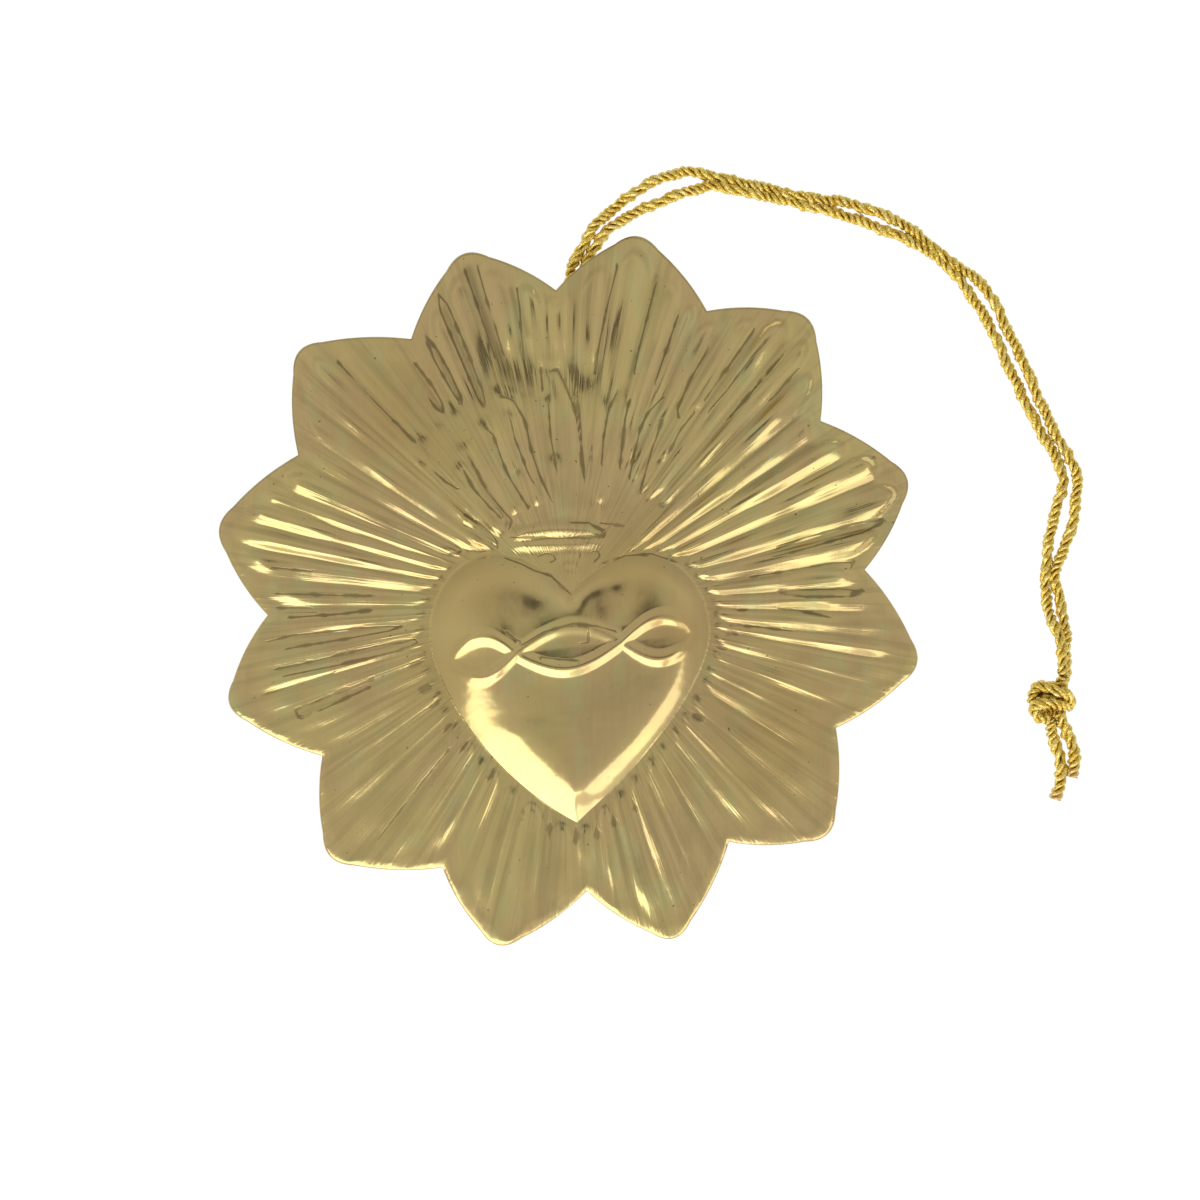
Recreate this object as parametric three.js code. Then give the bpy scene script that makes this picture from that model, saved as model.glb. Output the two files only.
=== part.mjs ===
// Brass ex-voto heart: a pressed and hand-cut sheet with a heart, flames and rays,
// a wire staple soldered behind its top notch, and a doubled cord knotted to hang it by.
// Millimetres. The sheet lies on its back: +Z is out of its front, +Y is towards its top notch.
import * as THREE from "three";

// Cut outline of the sheet
const POINT_COUNT = 12;
const POINT_RADIUS = 51.3;
const NOTCH_RADIUS = 43.1;
const TOP_NOTCH_ANGLE = 93.2;
const TIP_ROUND = 4.5; // how much of each flank the rounded tip takes up
const TIP_LOSS = 0.36; // what the rounding takes off a tip's reach, as a share of TIP_ROUND
const FLANK_BULGE = 0.5;
// Hand-cut wander of each notch and of the tip after it, anticlockwise from the top notch:
// notch angle (degrees), notch radius, tip angle (degrees), tip radius
const HAND_CUT = [
  [-0.8, -0.2, -1.0, -0.8], [-1.2, -0.6, 0.0, 0.4], [0.1, 0.2, 1.6, -0.5],
  [1.4, 0.1, 0.3, 0.0], [0.6, -0.7, -0.1, -0.2], [2.3, 0.4, 0.6, 0.5],
  [0.3, -0.1, -1.4, 0.8], [-0.6, -0.5, -1.4, -0.4], [-0.3, -0.1, 0.2, -0.3],
  [0.9, -0.6, -0.1, -0.2], [0.8, 0.4, 0.5, 0.6], [0.5, 1.6, 0.9, 0.4],
];

// Pressed form of the sheet
const SHEET = 0.4;
const DOME_RISE = 6.4;
const DOME_POWER = 1.1; // 1 dishes the sheet like a cone, 2 like a bowl
const LAND_LENGTH = 3; // flat end of each tip, which the ornament rests on
const CORD_LIFT = 2.6; // how far the sheet is bent up at the top notch for the cord
const CORD_LIFT_SPREAD = 26; // degrees to each side of the notch
const CORD_LIFT_START = 12.7; // how far inside the notch the bend starts, and where it is full
const CORD_LIFT_FULL = 4.2;
const RAYS_PER_POINT = 5;
const RAY_RISE = 0.6;
const RAY_CENTRE = [0.2, -2.0]; // where all rays would meet

// Heart
const HEART_AXIS = 0.2;
const HEART_HALF_WIDTH = 19.9;
const HEART_WIDEST = -5.6;
const LOBE_TOP = 5.3;
const LOBE_OFFSET = 10.3;
const CLEFT = -0.6;
const HEART_TIP = -33.2;
const HEART_TIP_LEAN = 1.0;
// Summit of each lobe: its place, and how high it stands above the dished sheet's middle
const LOBE_SUMMITS = [[-5.2, -0.9, 1.4], [10.4, 0.4, 0.9]];
const LOBE_SLOPE = 0.1; // how the face falls away from each summit
const LOBE_ROUND = 4;
const LOBE_BLEND = 0.8;
const HEART_SHOULDER = 0.8;
// The heart's sides: how steeply each one starts, and how far inside the outline it levels out
const LEFT_SIDE = [0.55, 8];
const RIGHT_SIDE = [0.95, 2.6];
const RIGHT_SIDE_AT_TIP = [0.95, 1.6];
const TOP_SIDE = [0.8, 3.2];
// Where one side turns into the next: left to right, tip to right side, and both to the top
const SIDES_MEET = [-1, 3];
const TIP_MEETS = [-31, -22];
const TOP_MEETS = [-8, -2];
// Lengths of the handles that draw the outline's curves, as shares of the stretch that each one rounds
const LOBE_HANDLE = 0.55;
const CLEFT_HANDLE = [0.2, 0.5];
const LOBE_TOP_HANDLE = 0.4;
const SIDE_HANDLE = 0.28;
const LEFT_TIP_HANDLE = [0.58, 0.24];
const RIGHT_TIP_HANDLE = [0.48, 0.28];

// Braided band across the heart: two strands that cross each other
const BRAID_HALF_WIDTH = 1.5;
const BRAID_CREST = 0.45; // half width of a strand's flat crest, as a share of its own
const BRAID_RISE = 0.7;
const BRAID_SWING = 2.9;
const BRAID_PITCH = 15; // from one crossing to the next
const BRAID_CROSSING = -7.4;
const BRAID_HEIGHT = -8.0;
const BRAID_SLOPE = 0.1;
const BRAID_LENGTH = 35;
const BRAID_OVER = 0.25; // how much higher the strand on top stands at a crossing, as a share of the rise

// Crown band above the cleft, two bars, and the flame tongues above it
const CROWN_LEFT = -9.0;
const CROWN_RIGHT = 5.6;
const CROWN_GAP = 0.8; // from the lobes' tops to the band
const CROWN_BAR = 1.4;
const CROWN_GROOVE = 0.4;
const CROWN_RISE = 0.8;
const FLAME_RISE = 0.9;
const FLAME_SWAY = 0.9; // how far a tongue bends to each side
// How far each tongue reaches from the crown towards the rim, right to left, as a share of the way
const FLAME_REACH = [0.5, 0.56, 0.6, 0.72, 0.62, 0.7, 0.58, 0.5, 0.42];
const FLAME_FOOT = 0.15; // shares of a tongue's length over which it rises and after which it falls
const FLAME_TAPER = 0.6;
const SPOKES_PER_FLAME = 6;

// Hanging staple and its solder
const WIRE = 0.8;
const STAPLE_SPAN = 9;
const STAPLE_X = 1.8;
const STAPLE_BELOW_NOTCH = 4.3;
const STAPLE_CORNER = 1.0;
const STAPLE_STEP = 0.4;
const FLOOR_GAP = 0.3;
const BEAD_WIDTH = 0.8;
const BEAD_HEIGHT = 0.6;
// Hollow flank of a solder bead, from the wire outwards: shares of its width and its height
const BEAD_FLANK = [[0, 1], [0.15, 0.95], [0.45, 0.45], [1, 0.12], [1, 0]];
const SEAT_GAP = 0.3;

// Cord
const CORD = 1.5;
const CORD_STEP = 4.1; // length of one facet along a loose stretch, along a tail and round the tight turn
const TAIL_STEP = 2.6;
const BIGHT_STEP = 1.0;
const BIGHT_RADIUS = 2;
const BIGHT_POINTS = 7;
const CORD_LIE = 0.8; // height of the cord's middle where it lies on the table
const KNOT_WIDTH = 6.7;
const KNOT_LENGTH = 6.0;
const KNOT_THICKNESS = 4.9;
const KNOT_TURNS = 3;
const KNOT_TURN_STEPS = 6;
const KNOT_WAIST = 0.82; // width between two turns and at the ends, as shares of the knot's width
const KNOT_ENDS = 0.96;
const KNOT_CENTRE = [68.9, -15.3];

const brass = new THREE.MeshStandardMaterial({ color: 0xa5965f, roughness: 0.35, metalness: 1 });
const brassWire = new THREE.MeshStandardMaterial({ color: 0xb39a55, roughness: 0.3, metalness: 1 });
const solder = new THREE.MeshStandardMaterial({ color: 0x9a9a96, roughness: 0.45, metalness: 1 });
const goldCord = new THREE.MeshStandardMaterial({ color: 0xe0b848, roughness: 0.4, metalness: 0.8 });

const radians = THREE.MathUtils.degToRad;
const { clamp, lerp, smoothstep } = THREE.MathUtils;

// Cut outline, sampled anticlockwise from the top notch; a groove between two rays runs to every third sample
const SPOKES_PER_RAY = 3;
const SPOKES_PER_POINT = SPOKES_PER_RAY * RAYS_PER_POINT;
const SPOKES = POINT_COUNT * SPOKES_PER_POINT;
const SPOKES_ROUND_TIP = 5;
const SPOKES_PER_FLANK = (SPOKES_PER_POINT - SPOKES_ROUND_TIP) / 2;

function corner(point, isTip) {
  const cut = HAND_CUT[point % HAND_CUT.length];
  const regular = TOP_NOTCH_ANGLE + (360 / POINT_COUNT) * (point + (isTip ? 0.5 : 0));
  const [angleOff, radiusOff] = isTip ? cut.slice(2) : cut.slice(0, 2);
  const sharpened = isTip ? POINT_RADIUS + TIP_LOSS * TIP_ROUND : NOTCH_RADIUS;
  const angle = radians(regular + angleOff);
  return new THREE.Vector2(Math.cos(angle), Math.sin(angle)).multiplyScalar(sharpened + radiusOff);
}

function flank(from, to) {
  const across = to.clone().sub(from);
  const outward = new THREE.Vector2(across.y, -across.x).setLength(2 * FLANK_BULGE);
  const middle = from.clone().add(to).multiplyScalar(0.5);
  if (outward.dot(middle) < 0) outward.negate();
  return new THREE.QuadraticBezierCurve(from, middle.add(outward), to);
}

function rimPoint(spokeIndex) {
  const point = Math.floor(spokeIndex / SPOKES_PER_POINT);
  const place = spokeIndex % SPOKES_PER_POINT;
  const notch = corner(point, false);
  const tip = corner(point, true);
  const nextNotch = corner(point + 1, false);
  const roundStart = notch.clone().sub(tip).setLength(TIP_ROUND).add(tip);
  const roundEnd = nextNotch.clone().sub(tip).setLength(TIP_ROUND).add(tip);
  const fromStart = place - SPOKES_PER_FLANK;
  const fromEnd = fromStart - SPOKES_ROUND_TIP;
  if (fromStart < 0) return flank(notch, roundStart).getPoint(place / SPOKES_PER_FLANK);
  if (fromEnd >= 0) return flank(roundEnd, nextNotch).getPoint(fromEnd / SPOKES_PER_FLANK);
  return new THREE.QuadraticBezierCurve(roundStart, tip, roundEnd).getPoint(fromStart / SPOKES_ROUND_TIP);
}

// Heart outline: two lobes rounded like quarter ellipses, and long sides down to a leaning tip
function heartOutline() {
  const half = HEART_HALF_WIDTH;
  const lobe = LOBE_OFFSET;
  const side = HEART_WIDEST - HEART_TIP;
  const outerX = lobe + LOBE_HANDLE * (half - lobe);
  const outerY = HEART_WIDEST + LOBE_HANDLE * (LOBE_TOP - HEART_WIDEST);
  const cleftX = CLEFT_HANDLE[0] * lobe;
  const cleftY = lerp(CLEFT, LOBE_TOP, CLEFT_HANDLE[1]);
  const innerX = (1 - LOBE_TOP_HANDLE) * lobe;
  const sideY = HEART_WIDEST - SIDE_HANDLE * side;
  const [leftX, leftY] = [LEFT_TIP_HANDLE[0] * half, HEART_TIP + LEFT_TIP_HANDLE[1] * side];
  const [rightX, rightY] = [RIGHT_TIP_HANDLE[0] * half, HEART_TIP + RIGHT_TIP_HANDLE[1] * side];
  const shape = new THREE.Shape();
  shape.moveTo(0, CLEFT);
  shape.bezierCurveTo(-cleftX, cleftY, -innerX, LOBE_TOP, -lobe, LOBE_TOP);
  shape.bezierCurveTo(-outerX, LOBE_TOP, -half, outerY, -half, HEART_WIDEST);
  shape.bezierCurveTo(-half, sideY, -leftX, leftY, HEART_TIP_LEAN, HEART_TIP);
  shape.bezierCurveTo(rightX, rightY, half, sideY, half, HEART_WIDEST);
  shape.bezierCurveTo(half, outerY, outerX, LOBE_TOP, lobe, LOBE_TOP);
  shape.bezierCurveTo(innerX, LOBE_TOP, cleftX, cleftY, 0, CLEFT);
  return shape.getPoints(OUTLINE_STEPS).map((point) => new THREE.Vector2(HEART_AXIS + point.x, point.y));
}

// How far the heart's outline lies from a centre inside it, in any direction
const OUTLINE_STEPS = 32;

function heartReach(centre) {
  const turn = 2 * Math.PI;
  const outline = heartOutline()
    .map((point) => point.sub(centre))
    .map((point) => ({ angle: point.angle(), radius: point.length() }))
    .sort((a, b) => a.angle - b.angle);
  return (angle) => {
    const found = Math.max(outline.findIndex((point) => point.angle > angle), 0);
    const after = outline[found];
    const before = outline.at(found - 1);
    const span = (after.angle - before.angle + turn) % turn;
    return lerp(before.radius, after.radius, ((angle - before.angle + turn) % turn) / span);
  };
}

const rayCentre = new THREE.Vector2(...RAY_CENTRE);
const reachFromRays = heartReach(rayCentre);

// A spoke runs from the heart's foot out to the rim
function spokeAt(spokeIndex) {
  const rim = rimPoint(spokeIndex);
  const along = rim.clone().sub(rayCentre);
  const foot = along.clone().setLength(reachFromRays(along.angle())).add(rayCentre);
  return { rim, foot, sideways: new THREE.Vector2(-along.y, along.x).normalize() };
}

// Height of the sheet's back before any line is chased on it
function backHeight(x, y) {
  const landRadius = POINT_RADIUS - LAND_LENGTH;
  const reach = Math.hypot(x, y);
  const dome = DOME_RISE * (1 - Math.min(reach / landRadius, 1) ** DOME_POWER);
  const turn = Math.atan2(y, x) - radians(TOP_NOTCH_ANGLE);
  const offNotch = Math.abs(Math.atan2(Math.sin(turn), Math.cos(turn))) / radians(CORD_LIFT_SPREAD);
  const lift = offNotch < 1 ? Math.cos((offNotch * Math.PI) / 2) ** 2 : 0;
  const outward = smoothstep(reach, NOTCH_RADIUS - CORD_LIFT_START, NOTCH_RADIUS - CORD_LIFT_FULL);
  return dome + CORD_LIFT * lift * outward;
}

// The smaller of two heights, rounded over where they meet
function softer(first, second, blend) {
  const share = clamp(0.5 + (second - first) / (2 * blend), 0, 1);
  return lerp(second, first, share) - blend * share * (1 - share);
}

// How far inside the heart's outline a place lies
const outlineEdges = heartOutline().map((point, index, points) => (
  new THREE.Line3(new THREE.Vector3(point.x, point.y), new THREE.Vector3(...points.at(index - 1)))));

function insideOutline(x, y) {
  const place = new THREE.Vector3(x, y);
  const nearest = new THREE.Vector3();
  return Math.min(...outlineEdges.map((edge) => (
    edge.closestPointToPoint(place, true, nearest).distanceTo(place))));
}

// Rise of the heart: rounded sides up from its outline to a face that falls away from a summit in each lobe
function heartRise(x, y) {
  const falls = LOBE_SUMMITS.map(([summitX, summitY, rise]) => (
    LOBE_SLOPE * (Math.hypot(x - summitX, y - summitY, LOBE_ROUND) - LOBE_ROUND) - rise));
  const face = DOME_RISE - softer(...falls, LOBE_BLEND) - backHeight(x, y);
  const inwards = insideOutline(x, y);
  const sides = [LEFT_SIDE, RIGHT_SIDE, RIGHT_SIDE_AT_TIP, TOP_SIDE];
  const [left, right, atTip, top] = sides.map(([slope, reach]) => (
    slope * reach * (1 - Math.exp(-inwards / reach))));
  const lower = lerp(left, lerp(atTip, right, smoothstep(y, ...TIP_MEETS)), smoothstep(x, ...SIDES_MEET));
  return softer(lerp(lower, top, smoothstep(y, ...TOP_MEETS)), face, HEART_SHOULDER);
}

// The braid's strands: where a strand runs, and how high it stands over and under the other
const braidPhase = (x) => (Math.PI * (x - BRAID_CROSSING)) / BRAID_PITCH;

function strandY(x, side) {
  return BRAID_HEIGHT + BRAID_SLOPE * x + side * BRAID_SWING * Math.sin(braidPhase(x));
}

function braidRise(x, y) {
  const end = BRAID_LENGTH / 2;
  const within = 1 - smoothstep(Math.abs(x - HEART_AXIS), end - BRAID_HALF_WIDTH, end);
  const rises = [1, -1].map((side) => {
    const off = Math.abs(y - strandY(x, side)) / BRAID_HALF_WIDTH;
    const over = 1 + BRAID_OVER * side * Math.cos(braidPhase(x));
    return over * clamp((1 - off) / (1 - BRAID_CREST), 0, 1);
  });
  return BRAID_RISE * within * Math.max(...rises);
}

// The pressed sheet: a turned disc, front and back, whose rings are drawn out to the heart's outline
// and on to the cut outline, and whose points are then raised into heart, braid, crown, flames and rays.
// Inside the heart spokes fall together, and between rays that stand alone rings do.
const HEART_HUB = -20; // where the disc's middle lies, below the braid
const RINGS_BELOW_BRAID = 4;
const RINGS_ABOVE_BRAID = 3;
const STRAND_RINGS = [-1, -BRAID_CREST, BRAID_CREST, 1];
const HEART_RINGS = RINGS_BELOW_BRAID + 2 * STRAND_RINGS.length + RINGS_ABOVE_BRAID + 1;
const HEART_SPOKE_STEPS = [12, 6, 4, 3, ...Array(HEART_RINGS - 5).fill(2), 1];
const UNDER_BRAID = [-27, -8.5]; // a spoke that ends below this height doesn't meet the braid
const RING_APART = 0.006;
const CLEFT_SPOKE_STEP = 2; // more spokes meet the cleft than the rest of the outline
const CROWN_LINES = [0, CROWN_BAR / 2, CROWN_BAR + CROWN_GROOVE / 2, 1.5 * CROWN_BAR + CROWN_GROOVE,
  2 * CROWN_BAR + CROWN_GROOVE];
const CROWN_HEIGHTS = [0, 1, 0.2, 1, 0];
const FLAME_RINGS = [0.13, 0.26, 0.39, 0.52, 0.64, 0.76, 0.86, 0.94, 1];
const PLAIN_RINGS = [0.08, 0.08, 0.08, 0.3, 0.3, 0.3, 0.3, 0.6, 0.6, 0.6, 0.6, 0.87, 0.94, 1];
const RAYS_END = [0.87, 0.94];
const RAYS_START = 0.08;

// The flames fill the spokes on both sides of the top notch, more of them on its left
const FLAMES_RIGHT = 0.45;
const flameSpokes = FLAME_REACH.length * SPOKES_PER_FLAME;
const firstFlameSpoke = -Math.round(FLAMES_RIGHT * flameSpokes);
const placeInFlames = (spokeIndex) => (spokeIndex - firstFlameSpoke + SPOKES) % SPOKES;

const heartHub = new THREE.Vector2(HEART_AXIS, HEART_HUB);

function plainRay(spokeIndex, outward, start) {
  const ray = smoothstep(outward, start, start + RAYS_START) * (1 - smoothstep(outward, ...RAYS_END));
  return spokeIndex % SPOKES_PER_RAY ? RAY_RISE * ray : 0;
}

function crownedSpoke({ foot, rim }, ringIndex) {
  const lineY = LOBE_TOP + CROWN_GAP + CROWN_LINES[ringIndex];
  const { x, y } = foot.clone().lerp(rim, (lineY - foot.y) / (rim.y - foot.y));
  const within = smoothstep(x, CROWN_LEFT, CROWN_LEFT + CROWN_BAR)
    * (1 - smoothstep(x, CROWN_RIGHT - CROWN_BAR, CROWN_RIGHT));
  return [x, y, CROWN_RISE * CROWN_HEIGHTS[ringIndex] * within];
}

function flamingSpoke({ foot, rim, sideways }, spokeIndex, up) {
  const place = placeInFlames(spokeIndex);
  const tongue = Math.min(Math.floor(place / SPOKES_PER_FLAME), FLAME_REACH.length - 1);
  const reach = FLAME_REACH[tongue];
  const tall = Math.min(up / reach, 1);
  const sway = FLAME_SWAY * Math.sin((Math.PI * place) / flameSpokes) * Math.sin(2 * Math.PI * tall);
  const crown = Math.sin((Math.PI * (place % SPOKES_PER_FLAME)) / SPOKES_PER_FLAME);
  const leaf = smoothstep(tall, 0, FLAME_FOOT) * (1 - smoothstep(tall, FLAME_TAPER, 1));
  const bandTop = LOBE_TOP + CROWN_GAP + CROWN_LINES.at(-1);
  const start = (bandTop - foot.y) / (rim.y - foot.y);
  const { x, y } = foot.clone().lerp(rim, lerp(start, 1, up)).addScaledVector(sideways, sway);
  return [x, y, FLAME_RISE * crown * leaf + plainRay(spokeIndex, up, reach)];
}

function fieldPoint(spokeIndex, ringIndex) {
  const spoke = spokeAt(spokeIndex);
  if (placeInFlames(spokeIndex) > flameSpokes) {
    const outward = PLAIN_RINGS[ringIndex];
    const { x, y } = spoke.foot.lerp(spoke.rim, outward);
    return [x, y, plainRay(spokeIndex, outward, 0)];
  }
  const flameRing = ringIndex - CROWN_LINES.length;
  if (flameRing < 0) return crownedSpoke(spoke, ringIndex);
  return flamingSpoke(spoke, spokeIndex, FLAME_RINGS[flameRing]);
}

// Share of the way from the hub to a spoke's foot at which it crosses a line, found by halving
function crossing(foot, lineY) {
  let [low, high] = [0, 1];
  for (let round = 0; round < 20; round += 1) {
    const share = (low + high) / 2;
    const { x, y } = heartHub.clone().lerp(foot, share);
    if (y < lineY(x)) low = share;
    else high = share;
  }
  return low;
}

// Where a spoke's rings lie in the heart: some below the braid, four along each strand, and some above it
function ringShares(foot) {
  const middle = (x) => (strandY(x, 1) + strandY(x, -1)) / 2;
  const lower = STRAND_RINGS.map((edge) => crossing(foot, (x) => (
    Math.min(strandY(x, 1), strandY(x, -1), middle(x) - edge * BRAID_HALF_WIDTH) + edge * BRAID_HALF_WIDTH)));
  const upper = STRAND_RINGS.map((edge) => crossing(foot, (x) => (
    Math.max(strandY(x, 1), strandY(x, -1), middle(x) - edge * BRAID_HALF_WIDTH) + edge * BRAID_HALF_WIDTH)));
  const below = Array.from({ length: RINGS_BELOW_BRAID }, (_, ring) => (
    (lower[0] * (ring + 1)) / (RINGS_BELOW_BRAID + 1)));
  const above = Array.from({ length: RINGS_ABOVE_BRAID + 1 }, (_, ring) => (
    lerp(upper.at(-1), 1, (ring + 1) / (RINGS_ABOVE_BRAID + 1))));
  const met = smoothstep(foot.y, ...UNDER_BRAID);
  let last = 0;
  return [...below, ...lower, ...upper, ...above].map((share, ring) => {
    const room = 1 - RING_APART * (HEART_RINGS - 1 - ring);
    last = Math.min(Math.max(lerp((ring + 1) / HEART_RINGS, share, met), last + RING_APART), room);
    return last;
  });
}

const heartSpokes = Array.from({ length: SPOKES }, (_, spokeIndex) => {
  const { foot } = spokeAt(spokeIndex);
  return { foot, shares: ringShares(foot) };
});

function heartPoint(spokeIndex, ringIndex) {
  const onFoot = ringIndex === HEART_RINGS - 1;
  const inCleft = !onFoot && placeInFlames(spokeIndex) < flameSpokes;
  const step = HEART_SPOKE_STEPS[ringIndex] * (inCleft ? CLEFT_SPOKE_STEP : 1);
  const { foot, shares } = heartSpokes[spokeIndex - (spokeIndex % step)];
  const { x, y } = heartHub.clone().lerp(foot, shares[ringIndex]);
  return [x, y, onFoot ? 0 : heartRise(x, y) + braidRise(x, y)];
}

function pressedPlate() {
  const ringCount = HEART_RINGS + PLAIN_RINGS.length;
  const back = Array.from({ length: ringCount + 1 }, (_, ring) => new THREE.Vector2(ring, 0));
  const front = back.map(({ x }) => new THREE.Vector2(x, SHEET)).reverse();
  const profile = [...back, ...front];
  const disc = new THREE.LatheGeometry(profile, SPOKES);
  const places = disc.attributes.position;
  for (let vertex = 0; vertex < places.count; vertex += 1) {
    const spokeIndex = Math.floor(vertex / profile.length) % SPOKES;
    const { x: ring, y: thickness } = profile[vertex % profile.length];
    let place = [heartHub.x, heartHub.y, heartRise(heartHub.x, heartHub.y)];
    if (ring > HEART_RINGS) place = fieldPoint(spokeIndex, ring - HEART_RINGS - 1);
    else if (ring > 0) place = heartPoint(spokeIndex, ring - 1);
    const [x, y, raise] = place;
    places.setXYZ(vertex, x, y, backHeight(x, y) + raise + thickness);
  }
  disc.computeVertexNormals();
  return disc;
}

// Round bar or cord along a path
const ROUND_SIDES = 20;
const WIRE_SIDES = 12;
const CORD_SIDES = 8;

function roundBar(path, diameter, stepLength, sides) {
  const section = new THREE.Shape().absarc(0, 0, diameter / 2, 0, 2 * Math.PI);
  const steps = Math.round(path.getLength() / stepLength);
  return new THREE.ExtrudeGeometry(section, {
    steps, curveSegments: sides / 2, extrudePath: path, bevelEnabled: false,
  });
}

// Staple: two legs up to the sheet's back, with the bar between them just clear of the table
const upperLegY = NOTCH_RADIUS - STAPLE_BELOW_NOTCH;
const lowerLegY = upperLegY - STAPLE_SPAN;
const barHeight = FLOOR_GAP + WIRE / 2;

// Height just below the sheet's back, over a round footprint on the staple's line
function seatHeight(plate, y, radius) {
  const upward = new THREE.Vector3(0, 0, 1);
  const heights = Array.from({ length: WIRE_SIDES + 1 }, (_, side) => {
    const angle = (2 * Math.PI * side) / WIRE_SIDES;
    const reach = side < WIRE_SIDES ? radius : 0;
    const below = new THREE.Vector3(STAPLE_X + reach * Math.cos(angle), y + reach * Math.sin(angle), -SHEET);
    return new THREE.Raycaster(below, upward).intersectObject(plate)[0].point.z;
  });
  return Math.min(...heights) - SEAT_GAP;
}

function staple(plate) {
  const at = (y, z) => new THREE.Vector3(STAPLE_X, y, z);
  const legTop = (y) => at(y, seatHeight(plate, y, WIRE / 2));
  const path = new THREE.CurvePath();
  const upperTurn = [at(upperLegY, barHeight + STAPLE_CORNER), at(upperLegY, barHeight),
    at(upperLegY - STAPLE_CORNER, barHeight)];
  const lowerTurn = [at(lowerLegY + STAPLE_CORNER, barHeight), at(lowerLegY, barHeight),
    at(lowerLegY, barHeight + STAPLE_CORNER)];
  path.add(new THREE.LineCurve3(legTop(upperLegY), upperTurn[0]));
  path.add(new THREE.QuadraticBezierCurve3(...upperTurn));
  path.add(new THREE.LineCurve3(upperTurn[2], lowerTurn[0]));
  path.add(new THREE.QuadraticBezierCurve3(...lowerTurn));
  path.add(new THREE.LineCurve3(lowerTurn[2], legTop(lowerLegY)));
  return roundBar(path, WIRE, STAPLE_STEP, WIRE_SIDES);
}

// Solder drawn up round a leg: a ring with a hollow flank, seated against the sheet
const bore = WIRE / 2 + SEAT_GAP;

function solderBead() {
  const seat = new THREE.Vector2(bore, 0);
  const flankPoints = BEAD_FLANK.map(([out, down]) => (
    new THREE.Vector2(bore + out * BEAD_WIDTH, -down * BEAD_HEIGHT)));
  return new THREE.LatheGeometry([seat, ...flankPoints, seat], ROUND_SIDES).rotateX(Math.PI / 2);
}

// Route of the cord on the table, from the notch to the knot, as it lies
const OUTER_ROUTE = [
  [0.2, 44.6, 1.4], [0.35, 45.8, 1.2], [0.9, 47.3, 1.0], [1.8, 49.1], [2.8, 50.8], [4.3, 52.8], [7.0, 55.1],
  [9.4, 57.1], [12.3, 58.7], [16.5, 59.9], [20.0, 59.6], [25.2, 58.3], [33.0, 56.6], [40.7, 55.3],
  [47.0, 53.2], [53.4, 48.8], [59.8, 43.3], [64.3, 35.3], [68.7, 26.0], [70.3, 21.6], [72.3, 18.3],
  [72.9, 15.9], [71.9, 8.7], [69.7, 2.4], [70.3, -1.4], [71.0, -4.6, 0.9], [71.3, -7.9, 1.3],
  [71.0, -12.0, 1.7],
];
const INNER_ROUTE = [
  [2.9, 45.0, 1.4], [2.9, 46.2, 1.2], [3.2, 47.4, 1.0], [4.1, 49.2], [5.3, 50.9], [6.8, 52.3], [8.9, 53.6],
  [11.3, 55.0], [14.2, 56.5], [17.6, 57.2], [20.5, 57.1], [27.2, 56.0], [35.5, 54.5], [43.1, 52.2],
  [49.3, 49.4], [55.3, 44.8], [60.4, 38.2], [64.0, 30.5], [65.3, 26.6], [68.6, 20.5], [70.2, 18.1],
  [70.7, 15.2], [69.0, 8.2], [68.1, 4.3], [68.1, 0.4], [68.6, -2.2, 1.3], [69.4, -5.0, 2.2],
  [70.4, -8.0, 3.0], [70.6, -12.0, 3.4],
];
const OUTER_TAIL = [[68.9, -18.6, 2.3], [69.4, -21.0, 1.2], [70.1, -23.5], [70.6, -25.5], [70.4, -27.6],
  [69.7, -29.9]];
const INNER_TAIL = [[70.8, -18.6, 2.6], [71.5, -20.6, 1.4], [72.4, -22.6], [72.5, -24.7], [72.1, -26.7]];

function cordCurve(route) {
  return new THREE.CatmullRomCurve3(route.map(([x, y, z = CORD_LIE]) => new THREE.Vector3(x, y, z)));
}

// The turn of the cord through the staple, hung loosely on its upper leg
function bightRoute() {
  const height = FLOOR_GAP + WIRE + SEAT_GAP + CORD / 2;
  const centreY = upperLegY - (WIRE + CORD) / 2 - SEAT_GAP + BIGHT_RADIUS;
  const turn = Array.from({ length: BIGHT_POINTS }, (_, index) => {
    const angle = Math.PI * (1 + index / (BIGHT_POINTS - 1));
    return [STAPLE_X + BIGHT_RADIUS * Math.cos(angle), centreY + BIGHT_RADIUS * Math.sin(angle), height];
  });
  const [outer, outerNext] = OUTER_ROUTE;
  const [inner, innerNext] = INNER_ROUTE;
  const before = ([x, y, z], [nextX, nextY, nextZ]) => {
    const step = new THREE.Vector3(x - nextX, y - nextY, z - nextZ).setLength(SEAT_GAP);
    return [x + step.x, y + step.y, z + step.z];
  };
  return [before(outer, outerNext), ...turn, before(inner, innerNext)];
}

// Overhand knot of the doubled cord, drawn tight into three turns
function knot() {
  const rounds = KNOT_TURNS * KNOT_TURN_STEPS;
  const half = KNOT_LENGTH / 2;
  const profile = [new THREE.Vector2(0, -half)];
  for (let index = 0; index <= rounds; index += 1) {
    const along = index / rounds;
    const turn = Math.abs(Math.sin(Math.PI * KNOT_TURNS * along));
    const drawnIn = lerp(KNOT_WAIST, 1, turn) * lerp(1, KNOT_ENDS, Math.abs(2 * along - 1));
    profile.push(new THREE.Vector2((KNOT_WIDTH / 2) * drawnIn, lerp(-half, half, along)));
  }
  profile.push(new THREE.Vector2(0, half));
  return new THREE.LatheGeometry(profile, ROUND_SIDES).scale(1, 1, KNOT_THICKNESS / KNOT_WIDTH);
}

const ornament = new THREE.Group();

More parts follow.
